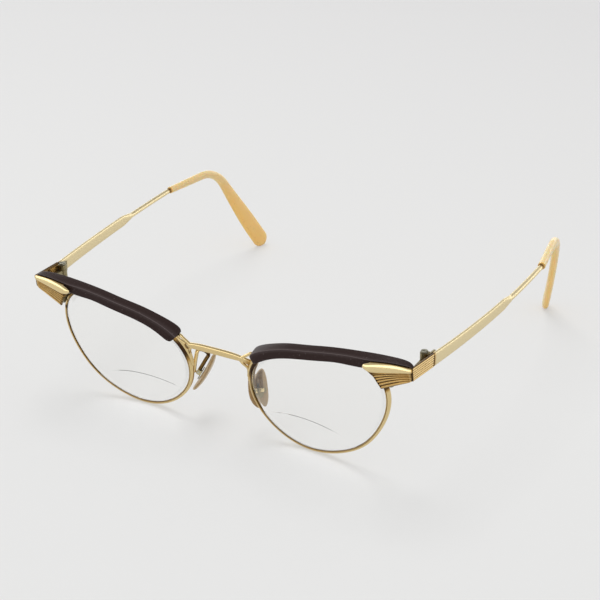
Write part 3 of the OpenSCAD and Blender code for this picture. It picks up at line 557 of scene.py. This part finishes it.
# Painted shade towards each end of the bar, where it turns back onto the foot, over a plain duller tone.
bar_dark = bridge_dull + np.clip((np.abs(bar_path[:, 0]) - bar_end[0] + 1.4) / 1.2, 0, 1) * 0.5
put("bridge_bar", round_bar(bar_path, bar_h, bar_t), "front", gold, replaces=("bridge",),
    painted_light_and_tone=bar_dark[:, None])
bar_back = bar_y - bar_end[1]
stay_ways = ([-2.6, bar_back + 0.1, bridge_rise * 0.8], [-1.5, bar_back + 0.1, 2.25],
             [0.05, bar_back + 0.1, 3.3], [1.3, bar_back + 0.15, 4.1])
stay_keys = [[*(bar_end + way), 0.9] for way in stay_ways]
stay_keys.append([*rim(np.array(155.8), wire_t + 0.6, wire_d / 2 - 0.1), 1])
leg_keys = [[*(bar_end + [-2.7, bar_back + 0.15, 1]), 0.9],
            [*(bar_end + [-1.8, bar_back + 0.45, -0.2]), 0.9],
            [*rim(np.array(171.0), wire_t + 0.75, 0.6), 0.9],
            [*rim(np.array(178.0), wire_t + 0.4, 0.75), 0.7]]
stay = domed(round_bar(along(stay_keys, 10), stay_h, stay_t), 0.2, 0.2)
leg = domed(round_bar(along(leg_keys, 10), leg_h, leg_t), 0.2, 0.2)
# The foot lies along the wire, thin at both ends and swelling between them as the power of a sine.
a = np.linspace(foot_from, foot_to, 60)[:, None]
thick = 0.45 + 0.9 * np.sin(np.pi * ((a - foot_from) / (foot_to - foot_from)) ** 0.68) ** 4
sunk = -0.03 + 0 * thick
foot_loop = ((sunk, 0.25), (thick, 0.35), (thick, wire_d - 0.5), (sunk, wire_d - 0.3))
foot_loop = np.concatenate([np.stack([out, n + 0 * thick], -1) for out, n in foot_loop], 1)
foot_loop = rounded(foot_loop, 0.16)
foot = domed(rim(a + 0 * foot_loop[..., 0], wire_t + foot_loop[..., 0], foot_loop[..., 1]), 0.4, 0.4)
for side in ("left", "right"):
    for part, shape in (("foot", foot), ("stay", stay), ("leg", leg)):
        put(f"{side}_bridge_{part}", shape, "front", gold, painted_light_and_tone=bridge_dull,
            mirrored=side == "right")

# The brow trims: moulded plastic channels, dark plum brown, sprung over the top
# of the eyewire and screwed on at the corner. A ridge runs along the front.
brow_top, brow_lip, brow_front, brow_back = 0.85, 0.7, 1.75, 2.6
# Pieces that lie on one another keep the seat apart. The trim rests on the endpiece, so the endpiece's line
# and the height of its cap are laid out here.
seat = 0.04
end_reach, end_l, flute_n, flute_h, plate_t = 9.2, 14.6, 6, 0.28, 0.7
corner_x = bridge_w / 2 + eye_w + end_reach
seam_y, seam_z, seam_h = -0.25, eye_low + 18.75, 4.2
front_turn, mitre_turn, nose_r = math.radians(6), math.pi / 4, 2.0
cap_low, cap_nose = 1.2, 2.4
arc_mid = np.array([corner_x - flute_h - nose_r * math.sin(mitre_turn),
                    seam_y + nose_r * math.cos(mitre_turn)])
arc_start = arc_mid + nose_r * np.array([math.sin(front_turn), -math.cos(front_turn)])
line_l = (arc_start[0] - (corner_x - end_l)) / math.cos(front_turn)
path_l = line_l + nose_r * (mitre_turn - front_turn)


def lean(z):
    """How far a height stands forward of the corner, because the whole front leans."""
    return -(z - seam_z) * math.tan(tilt)


def end_path(q, out):
    """A point on the endpiece's line at arc length q: straight, then round the corner, moved outwards."""
    q, out = np.broadcast_arrays(np.asarray(q, float), np.asarray(out, float))
    turn = np.where(q < line_l, front_turn, front_turn + (q - line_l) / nose_r)
    normal = np.stack([np.sin(turn), -np.cos(turn)], -1)
    straight = arc_start - (line_l - q)[..., None] * np.array([math.cos(front_turn), math.sin(front_turn)])
    return np.where((q < line_l)[..., None], straight, arc_mid + nose_r * normal) + out[..., None] * normal


def behind_end(x, z):
    """Y of the back of the stamped endpiece at a given x and height."""
    q = line_l - (arc_start[0] - x) / math.cos(front_turn)
    return end_path(q, -plate_t)[..., 1] + lean(z)


def cap_z(c, s):
    """Height of the smooth cap's surface at share c down it and share s along it."""
    top = seam_z + 1.8 + 0.3 * s + 0.4 * np.sin(np.pi * s)
    low = seam_z - 1.5 + (3.6 - cap_low) * s
    return top + (low - top) * (1 - np.cos(np.pi * c)) / 2


def hook_key(a, high, low, front):
    """Section of the trim over the wire at one angle of the rim, in ten corners."""
    top = wire_t + high
    p = np.array([[top - 0.25, wire_d + 0.3], [top, wire_d], [top - 0.08, 0.1], [top - 0.3, 0.5 - front],
                  [(0.35 - low + top - 0.3) / 2, 0.2 - front], [0.35 - low, -front], [-low, 0.35 - front],
                  [0.1 - low, -2 * seat], [wire_t + 2 * seat, -2 * seat], [wire_t + 2 * seat, wire_d + 0.3]])
    return rim(np.full(10, float(a)), p[:, 0], p[:, 1])


def end_key(x, top, low, back):
    """Section of the trim's solid end above the endpiece at one x, in ten corners."""
    y = behind_end(x, top - 1.4) + 2 * seat
    w = back - y
    s = np.clip((line_l - (arc_start[0] - x) / math.cos(front_turn) - cap_nose) / (path_l - cap_nose), 0, 1)
    lip = cap_z(0, s) + 2 * seat
    foot_y = behind_end(x, low)
    return np.array([[x, back, top - 0.3], [x, back - 0.35, top],
                     [x, y + 0.35 * w, top + 0.55 * (lip + 0.18 - top)], [x, y - 0.3, lip + 0.18],
                     [x, y + 0.05, lip], [x, foot_y + 2 * seat, low + 0.3], [x, foot_y + 0.3, low],
                     [x, y + 0.5 * w, low], [x, y + 0.7 * w, low], [x, back, low]])


def shrunk(key, k):
    """A section drawn together about the middle of its own box."""
    middle = (key.min(0) + key.max(0)) / 2
    return middle + (key - middle) * k


brow_z = seam_z + 3.5
# Each hook: the rim's angle, then the trim's rise, lip and front as shares of the usual ones.
hooks = ((154, 3, -0.7, 1.6), (152, 3, -0.7, 1.6), (147, 2.8, -0.3, 1.5), (139, 2.15, 0.2, 1.3),
         (130, 1.65, 0.6, 1.15), (117, 1.45, 0.9, 1.05), (104, 1.35, 0.9, 1), (90, 1.3, 0.9, 1),
         (76, 1.15, 1.1, 1), (64, 1.0, 1, 1), (53, 1.7, 0.8, 1))
brow_keys = [hook_key(a, brow_top * t, brow_lip * l, brow_front * fr) for a, t, l, fr in hooks]
brow_keys[0] = shrunk(brow_keys[0], 0.8)
brow_keys += [end_key(corner_x - 12.2, brow_z - 0.88, brow_z - 4.6, brow_back - 0.1),
              end_key(corner_x - 8, brow_z - 0.75, brow_z - 3.4, brow_back),
              end_key(corner_x - 4.4, brow_z - 0.7, brow_z - 3.2, brow_back),
              end_key(corner_x - 1.8, brow_z - 0.78, brow_z - 3.1, brow_back - 0.5),
              shrunk(end_key(corner_x - 0.75, brow_z - 0.95, brow_z - 3.1, brow_back - 1), 0.76)]
# The trim's two further tints are paler than its plum: dust specks, and the painted highlight along the
# ridge.
plum = finish("brow_plastic", (0.033, 0.020, 0.0185), (0.16, 0.13, 0.13), (0.20, 0.16, 0.16), rough=0.28,
              smear=0.14, size=220, bump=0.000006, Specular_IOR_Level=0.07)
brow = along(np.array(brow_keys), 12)
# The trim's lines flow: each section goes half the way to the mean of its neighbours, many times over.
for _ in range(60):
    brow[1:-1] = brow[:-2] / 4 + brow[1:-1] / 2 + brow[2:] / 4
brow_round, round_steps, ridge_corner = [0.12, 0.25, 0.5, 0.14, 0.4, 0.16, 0.12, 0.05, 0.05, 0.05], 5, 3
brow = rounded(brow, brow_round, round_steps)
# Painted highlight along the ridge on the front, brightest on its crest.
ridge = np.zeros((1, len(brow_round) * round_steps))
ridge[0, ridge_corner * round_steps:(ridge_corner + 1) * round_steps] = 0.1, 0.28, 0.42, 0.28, 0.1
for side in ("left", "right"):
    put(f"{side}_brow_moulding", domed(brow, 0.25, 0.3), "front", plum, painted_light_and_tone=ridge,
        replaces=(f"{side}_brow_trim",), mirrored=side == "right")

# The endpieces: stampings of gold-filled sheet with a smooth bullet-shaped cap
# over a fan of flutes. They end on the mitre where the temple closes.
cap_relief, cap_peak, cap_round = 1.1, 0.85, 0.16
fan_drop, fan_in, fan_sunk = 7.1, 5.3, 0.12


def end_row(s, cap_steps=24, per_flute=10):
    """Section of the endpiece at share s: the cap, a scalloped fan that narrows, and the flat back.
    The cap swells along a parabola down to its fullest height and turns under along a quarter ellipse."""
    s = np.asarray(s, float)[:, None]
    nose = np.sqrt(1 - (1 - np.clip(s / cap_round, 0, 1)) ** 2)
    thin = 1 - 0.6 * s
    c = np.linspace(0, 1, cap_steps)[None, :]
    start = cap_nose * np.cos(np.pi * c) ** 2
    q = start + (path_l - start) * s
    down = (1 - np.cos(np.pi * c)) / 2
    swell = np.where(down < cap_peak, 1 - (1 - down / cap_peak) ** 2,
                     np.sqrt(np.maximum(1 - ((down - cap_peak) / (1 - cap_peak)) ** 2, 0)))
    out = cap_relief * swell * nose * thin
    cap = np.concatenate([end_path(q, out), (cap_z(c, s) + 0 * q)[..., None]], -1)
    t = (np.arange(1, per_flute * flute_n + 1) / (per_flute * flute_n))[None, :]
    start = cap_nose + (fan_in - cap_nose) * t
    q = start + (path_l - start) * s
    wave = np.abs(np.sin(np.pi * flute_n * t))
    out = flute_h * wave - fan_sunk + 0 * q
    high = seam_z - 1.5 - (fan_drop - 2) * t
    low = seam_z + seam_h / 2 - cap_low + (cap_low - seam_h) * t
    fan_z = high + (low - high) * (s + 0.5 * np.sin(np.pi * t) * s * (1 - s))
    fan = np.concatenate([end_path(q, out), fan_z[..., None]], -1)
    q_low, q_top = fan_in + (path_l - fan_in) * s, cap_nose + (path_l - cap_nose) * s
    back_low = np.concatenate([end_path(q_low, 0 * s - plate_t), fan_z[:, -1:, None]], -1)
    back_top = np.concatenate([end_path(q_top, 0 * s - plate_t), cap[:, :1, 2:]], -1)
    rows = np.concatenate([cap, fan, back_low, back_top], 1)
    rows[..., 1] += lean(rows[..., 2])
    # Painted shade lies in the lines between flutes, at the fan's broad end, in the recess beside the cap,
    # and on the mitre, where it runs up each line. A painted highlight lies on a short stretch of the crests
    # before the mitre.
    line = np.clip(1 - wave / (1.0 - 0.3 * s), 0, 1) ** 0.8
    line_dark = 0.85 - 0.45 * eased((s - 0.3) / 0.5)
    broad_end = 0.5 * np.clip(1 - s / 0.05, 0, 1)
    crest_highlight = 0.8 * wave * np.clip(1 - np.abs(s - 0.935) / 0.03, 0, 1)
    recess = 0.9 * np.clip(1 - s / 0.35, 0, 1) * np.clip(1 - t / 0.14, 0, 1)
    on_mitre = np.clip((s - 0.97 + 0.045 * (1 - wave)) / 0.01, 0, 1)
    fan_dark = (0.28 + 0.16 * s + line_dark * line + broad_end) * (1 - crest_highlight) + recess + on_mitre
    # On the cap, painted shade lies under the overhang, along the top edge and at the mitre.
    overhang = np.clip((c - 0.80 + 0.12 * np.clip(1 - s / 0.25, 0, 1)) / 0.12, 0, 1)
    top_edge = 0.7 * np.clip((0.07 - c) / 0.07, 0, 1)
    cap_dark = overhang + top_edge + np.clip((s - 0.975) / 0.012, 0, 1)
    # The hidden back is painted dark as shade.
    back_dark = 0.6 + 0 * s
    return rows, np.clip(np.concatenate([cap_dark, fan_dark, back_dark, back_dark], 1), 0, 1)


ends, end_dark = end_row(np.linspace(0, 1, 80) ** 1.5)
for side in ("left", "right"):
    put(f"{side}_endpiece_stamping", ends, "front", gold, painted_light_and_tone=end_dark,
        replaces=(f"{side}_endpiece",), mirrored=side == "right")

# The temple butts: fluted covers, drawn over a die with the same flutes as the
# endpiece, soldered on the shaft's core. They meet the endpiece on its mitre.
butt_l, butt_t, mitre_gap, butt_back_shade = 11.6, 0.75, 0.08, 0.15
butt_turn, butt_drop = math.radians(5.4), math.radians(4.2)
splay_m, drop_m = math.tan(butt_turn), math.tan(butt_drop)


def butt_rows(steps=40, per_flute=10):
    """Sections of the cover along its length: scallops of half the flute's pitch in radius on a flat back.
    The first rows are slid onto the mitre plane, so the cover starts where the endpiece ends."""
    x_way = np.array([math.cos(butt_turn), -math.sin(butt_turn), 0])
    ahead = np.array([math.sin(butt_turn) * math.cos(butt_drop), math.cos(butt_turn) * math.cos(butt_drop),
                      -math.sin(butt_drop)])
    up = np.cross(x_way, ahead)
    flute = seam_h / flute_n
    h = np.arange(per_flute * flute_n + 1) / per_flute
    bulge = np.sqrt(np.maximum(0.25 - (h % 1 - 0.5) ** 2, 0))
    face = np.stack([np.maximum(bulge * flute - flute / 2, -flute_h), h * flute - seam_h / 2], -1)
    loop = np.concatenate([face, [[-butt_t, seam_h / 2], [-butt_t, -seam_h / 2]]])
    start = np.array([corner_x, seam_y, seam_z]) + loop[:, :1] * x_way + loop[:, 1:] * up
    mitre = np.array([math.sin(mitre_turn), math.cos(mitre_turn) * math.cos(tilt),
                      math.cos(mitre_turn) * math.sin(tilt)])
    on_mitre = np.array([corner_x - flute_h, seam_y + mitre_gap, seam_z])
    first = (mitre @ on_mitre - start @ mitre) / (ahead @ mitre)
    last = butt_l / math.cos(butt_turn)
    s = np.linspace(0, 1, steps)[:, None]
    d = first + (last - first) * s
    # Painted shade: in the lines between flutes and over the flat back, on the mitre where the cover meets
    # the endpiece, and at its back end over the strap, with a little all over.
    wave = np.concatenate([2 * bulge, [butt_back_shade, butt_back_shade]])[None, :]
    line_shade = 0.88 * np.clip(1 - wave / 0.95, 0, 1) ** 0.8
    at_mitre = np.clip(1.4 - (d - first) / (0.15 + 0.45 * (1 - wave)), 0, 1)
    at_back = 0.8 * np.clip(1 - (last - d) / 0.3, 0, 1)
    return start + d[..., None] * ahead, np.clip(0.12 + line_shade + at_mitre + at_back, 0, 1)


butt, butt_dark = butt_rows()
for side in ("left", "right"):
    put(f"{side}_butt_cover", butt, f"{side}_temple", gold, painted_light_and_tone=butt_dark,
        replaces=(f"{side}_temple_butt",), mirrored=side == "right")

# The temple shafts: one length of gold-filled wire, swaged flat into a strap at
# the front and left round at the back, where the plastic sleeve is pushed on.
core_t, strap_l, strap_h, strap_t, strap_flare = 0.65, 45.0, 3.8, 1.1, 0.4
shaft_r, swage_r, bare_l, sleeve_l = 0.85, 1.3, 27.0, 17.5
splay, strap_sag, turn_in = 5.7, 0.3, 0.15
butt_end = seam_y + butt_l
strap_x = corner_x + butt_l * splay_m - strap_t / 2 - 0.15
bow_end = butt_end + strap_l + bare_l
strap_z = seam_z - butt_l * drop_m - 0.1


def strap_line(y):
    """Centre of the temple at distance y: bowing outwards along a parabola, with a slight sag."""
    b = np.clip((y - butt_end) / (bow_end - butt_end), 0, 1)
    return np.stack([strap_x + splay * (1 - (1 - b) ** 2), y, strap_z - strap_sag * np.sin(np.pi * b)], -1)


sleeve_start = strap_line(np.array(bow_end))
sleeve_dir = unit(np.array([-turn_in, 1, 0]))
# The shaft's four parts in turn: its core in the butt, the strap, the round wire, and its end in the sleeve.
core_d = np.array([butt_l - 5.4, butt_l - 3, butt_l + 0.25])
core_mid = np.stack([corner_x - butt_t - core_t / 2 - seat + core_d * splay_m, seam_y + core_d,
                     seam_z - core_d * drop_m], -1)
core_way = unit(np.array([[splay_m, 1, -drop_m]])).repeat(3, 0)
core = sections(core_mid, core_way, np.zeros(3), core_t, seam_h - 0.9, 5)
y = butt_end + np.concatenate([[0.3, 0.5, 0.8], np.linspace(1.4, strap_l - 3, 50)])
flat = (y - butt_end) / strap_l
strap = sections(strap_line(y), unit(strap_line(y + 0.5) - strap_line(y - 0.5)), 0 * y,
                 strap_t * np.clip(0.8 + (y - butt_end) / 4, 0, 1),
                 strap_h + strap_flare - 1.5 * strap_flare * flat, 4)
k = np.concatenate([np.linspace(0, 0.12, 10), np.linspace(0.16, 1, 24)])
y = butt_end + strap_l + k * (bare_l - 0.6)
wire = sections(strap_line(y), unit(strap_line(y + 0.5) - strap_line(y - 0.5)), 0 * y,
                2 * shaft_r, 2 * (swage_r + (shaft_r - swage_r) * eased(k * 12)), 2)
d = np.array([0.6, sleeve_l - 3.9, sleeve_l - 3.5])
inner_w = 2 * shaft_r * np.array([1, 1, 0.6])
inner = sections(sleeve_start + sleeve_dir * d[:, None], sleeve_dir + 0 * d[:, None], 0 * d,
                 inner_w, inner_w, 2)
shaft = np.concatenate([core, strap, wire, inner])
# Painted shade where the strap leaves the butt and where the wire enters the sleeve.
shaft_dark = np.zeros(len(shaft))
shaft_dark[:6] = 0.6, 0.6, 0.6, 1.0, 0.9, 0.35
shaft_dark[-4] = 0.9
satin = finish("satin_gold", (0.78, 0.66, 0.40), gold_deep, gold_shade_and_speck_tint, rough=0.36, smear=0.14, size=350,
               bump=0.000008, Metallic=1.0)
for side in ("left", "right"):
    put(f"{side}_shaft_wire", shaft, f"{side}_temple", satin, painted_light_and_tone=shaft_dark[:, None],
        replaces=(f"{side}_temple_shaft",), mirrored=side == "right")

# The sleeves: translucent amber plastic tube, softened, pushed over the wire,
# bent down behind the ear and pressed into a flat paddle at the end.
bend_r, bend_a, drop_in, drop_l = 13.0, math.radians(62), 0.05, 42
sleeve_t, paddle_w, paddle_twist = 2.5, 6.6, 17
tip_round = paddle_w * 0.46
bend_start = sleeve_start + sleeve_dir * sleeve_l
bend_len = bend_r * bend_a


def temple_line(d):
    """Centre of the sleeve at distance d from the bend: straight, an arc downwards, then straight again."""
    d = np.asarray(d, float)
    a = np.clip(d / bend_r, 0, bend_a)
    rest = np.maximum(d - bend_len, 0)
    bent = np.stack([-turn_in * d - drop_in * np.maximum(d, 0) * d / drop_l,
                     bend_r * np.sin(a) + rest * math.cos(bend_a),
                     -bend_r * (1 - np.cos(a)) - rest * math.sin(bend_a)], -1)
    return bend_start + np.where((d < 0)[..., None], d[..., None] * sleeve_dir, bent)


# Amber's deeper tint colours the paddle; its darkest one is the painted shade at the sleeve's mouth.
amber = finish("sleeve_plastic", (0.78, 0.56, 0.24), (0.88, 0.54, 0.14), (0.30, 0.16, 0.05), rough=0.26,
               smear=0.12, size=160, bump=0.00001, Subsurface_Weight=0.35,
               Subsurface_Radius=(0.004, 0.0022, 0.0008), Subsurface_Scale=0.5, Coat_Weight=0.08,
               Coat_Roughness=0.2)


def grazing_sheen(material, colour, blend):
    """Clear plastic looks paler where the eye passes along its surface; here that sheen is painted: the
    colour goes over to a paler one there, by the layer weight's Facing output."""
    t = material.node_tree
    marks_and_light_node = next(n for n in t.nodes if n.type == "GROUP")
    shader = t.nodes["Principled BSDF"]
    glance = t.nodes.new("ShaderNodeLayerWeight")
    glance.inputs["Blend"].default_value = blend
    over = t.nodes.new("ShaderNodeMix")
    over.data_type = "RGBA"
    over.inputs["B"].default_value = (*colour, 1)
    t.links.new(glance.outputs["Facing"], over.inputs["Factor"])
    t.links.new(marks_and_light_node.outputs["Colour"], over.inputs["A"])
    t.links.new(over.outputs["Result"], shader.inputs["Base Color"])


grazing_sheen(amber, (0.84, 0.73, 0.42), 0.25)


def sleeve_sections(tip_d, steps):
    """Sections of the sleeve from its mouth to the paddle's round end, and how dark each is.
    The width eases up by a little over the first part and to the paddle's width over the rest."""
    first_part, first_gain = 0.3, 1.15
    a = np.radians(np.linspace(0, 89, 10))[1:]
    d = np.concatenate([[-sleeve_l, -sleeve_l + 0.12, -sleeve_l + 0.3],
                        np.linspace(-sleeve_l + 0.8, -0.5, steps), np.linspace(0, bend_len, steps),
                        np.linspace(bend_len + 0.8, tip_d, steps), tip_d + tip_round * np.sin(a)])
    k = np.concatenate([[0.84, 0.95, 1], np.ones(3 * steps), np.cos(a)])
    share = np.clip((d + sleeve_l) / (tip_d + sleeve_l), 0, 1)
    middle_w = sleeve_t * first_gain
    wide = np.where(share < first_part, sleeve_t + (middle_w - sleeve_t) * eased(share / first_part),
                    middle_w + (paddle_w - middle_w) * eased((share - first_part) / 0.6))
    heading = unit(temple_line(d + 0.4) - temple_line(d - 0.4))
    twist = np.radians(paddle_twist) * np.clip(d / tip_d, 0, 1)
    rows = sections(temple_line(d), heading, twist, (1 + k) / 2 * sleeve_t, k * wide, 2 + 0.6 * share)
    # Painted shade at the sleeve's mouth, where the wire goes in; from a third of the way on, the colour
    # deepens towards the paddle.
    dark = np.concatenate([[0.8, 0.65, 0.5], 0.5 * eased((share[3:] - 0.35) / 0.3)])
    return rows, dark[:, None]


# The paddle's lowest point stands on the table: its reach is corrected by what is left, a few times.
reach = bend_len + (bend_start[2] - bend_r * (1 - math.cos(bend_a))) / math.sin(bend_a) - 3
for _ in range(4):
    reach += sleeve_sections(reach, 6)[0][..., 2].min() / math.sin(bend_a)
sleeve, sleeve_dark = sleeve_sections(reach, 26)
for side in ("left", "right"):
    put(f"{side}_sleeve_moulding", sleeve, f"{side}_temple", amber, painted_light_and_tone=sleeve_dark,
        replaces=(f"{side}_temple_tip",), mirrored=side == "right")

# The nose pads: thin cushions of clear plastic, yellowed with age, each on a
# small stamped mount whose two ears hold the pin that the pad rocks on.
pad_l, pad_w, pad_t, pad_bow = 13.6, 7.8, 1.8, 0.7
pad_mid = np.array([bridge_w / 2 - 1.55, 9.8, eye_low - 4.8])
pad_up = unit(np.array([-0.34, 0.46, 0.82]))
pad_face = unit(np.cross(pad_up, [0.491, 0.732, -0.475]))
pad_side = np.cross(pad_face, pad_up)
cream = finish("pad_plastic", (0.41, 0.265, 0.12), (0.32, 0.20, 0.085), (0.19, 0.12, 0.06), rough=0.16,
               smear=0.12, size=260, bump=0.000008, Transmission_Weight=0.15, IOR=1.45, Coat_Weight=0.1,
               Coat_Roughness=0.1)
grazing_sheen(cream, (0.70, 0.52, 0.28), 0.3)
# Outline and thickness fade towards both ends as a superellipse, and the back follows a parabola.
v = np.sin(np.radians(np.linspace(-90, 90, 41)))[:, None]
a = np.radians(np.arange(0, 360, 10))[None, :]
fade = np.sqrt(np.maximum(1 - np.abs(v) ** 2.6, 0.0005))
px = pad_w / 2 * fade * np.cos(a) * (1 - 0.08 * v)
pz = pad_t / 2 * fade ** 0.7 * np.sin(a) - pad_bow * v ** 2 + pad_bow * 0.4
py = v * pad_l / 2 + 0 * a
pad = pad_mid + px[..., None] * pad_side + py[..., None] * pad_up + pz[..., None] * pad_face
for side in ("left", "right"):
    put(f"{side}_pad_cushion", pad, f"{side}_pad", cream, replaces=(f"{side}_nose_pad",),
        mirrored=side == "right")

# The pad arms: round gold-filled wire, soldered behind the eyewire and bent up,
# over and down in a loop that a fitter can adjust, to an eye on the pad's pin.
arm_r, pin_r, eye_r, eye_half, eye_bevel = 0.6, 0.35, 0.7, 0.7, 0.08
mount_v, mount_t = -1.0, 0.3
pin_z = -pad_t / 2 + 0.13 - seat - mount_t - eye_r - 0.07


def pad_point(x, up, out):
    """A point in the nose pad's own frame."""
    return pad_mid + x * pad_side + up * pad_up + out * pad_face


arm_foot = rim(np.array(187.0), wire_t / 2, wire_d + arm_r + seat)
arm_keys = np.array([arm_foot + [0.2, 0.24, -1.2], arm_foot, arm_foot + [-0.4, 0.6, 3.6],
                     arm_foot + [-0.8, 1.5, 5.9], arm_foot + [-1.4, 4, 4.6],
                     pad_point(0, 5.2, pin_z - 0.1), pad_point(0, 3.2, pin_z),
                     pad_point(0, mount_v + 0.4, pin_z)])
arm_line = along(arm_keys, 10)
arm_way = unit(np.gradient(arm_line, axis=0))
arm = domed(sections(arm_line, arm_way, np.zeros(len(arm_line)), 2 * arm_r, 2 * arm_r, 2), 0.3, 0.0)
# Painted shade on the strand that comes down to the pad; the one by the eyewire stays light.
arm_dark = 0.1 + 0.75 * eased((np.arange(len(arm)) / len(arm_line) - 0.42) / 0.2)
eye_a = np.radians(np.arange(0, 360, 10))[:, None]
bore_r = pin_r + 0.03
eye_edge = eye_half - eye_bevel
ring = np.array([[bore_r, -eye_half], [eye_r - eye_bevel, -eye_half], [eye_r, -eye_edge], [eye_r, eye_edge],
                 [eye_r - eye_bevel, eye_half], [bore_r, eye_half]])
eye_ring = pad_point(ring[None, :, 1, None], (mount_v + ring[:, 0] * np.cos(eye_a))[..., None],
                     (pin_z + ring[:, 0] * np.sin(eye_a))[..., None])
for side in ("left", "right"):
    put(f"{side}_arm_wire", arm, "front", gold, painted_light_and_tone=arm_dark[:, None],
        replaces=(f"{side}_pad_arm",), mirrored=side == "right")
    put(f"{side}_arm_eye", eye_ring, "front", gold, ring=True, mirrored=side == "right")

# The small metal parts that show little: hinge knuckles, leaves, end blocks,
# closing barrels, pad mounts, and the steel of screws and pins.
steel = finish("screw_steel", (0.36, 0.35, 0.27), (0.2, 0.18, 0.13), (0.06, 0.045, 0.03), rough=0.34,
               smear=0.15, size=500, bump=0.00001, Metallic=1.0)
# Darker copies of the gold paint the shade that the hinge parts, pad mounts, barrels and end blocks sit in.
shade_gold = finish("shaded_gold", (0.31, 0.265, 0.15), (0.16, 0.12, 0.055), (0.05, 0.03, 0.015), rough=0.26,
              smear=0.15, size=500, bump=0.00001, Metallic=1.0)
deep_shade_gold = finish("deeply_shaded_gold", (0.15, 0.12, 0.065), (0.09, 0.065, 0.03), (0.04, 0.025, 0.012), rough=0.34,
               smear=0.15, size=500, bump=0.00001, Metallic=1.0)
# A node takes the finish of the first word here that its name holds, so a hinge screw is steel.
small_parts = (("pad_pin", steel), ("screw", steel), ("barrels", deep_shade_gold), ("end_block", deep_shade_gold),
               ("pad_mount", shade_gold), ("hinge", shade_gold))
for name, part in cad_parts.items():
    part.data.materials.clear()
    part.data.materials.append(next((look for word, look in small_parts if word in name), gold))
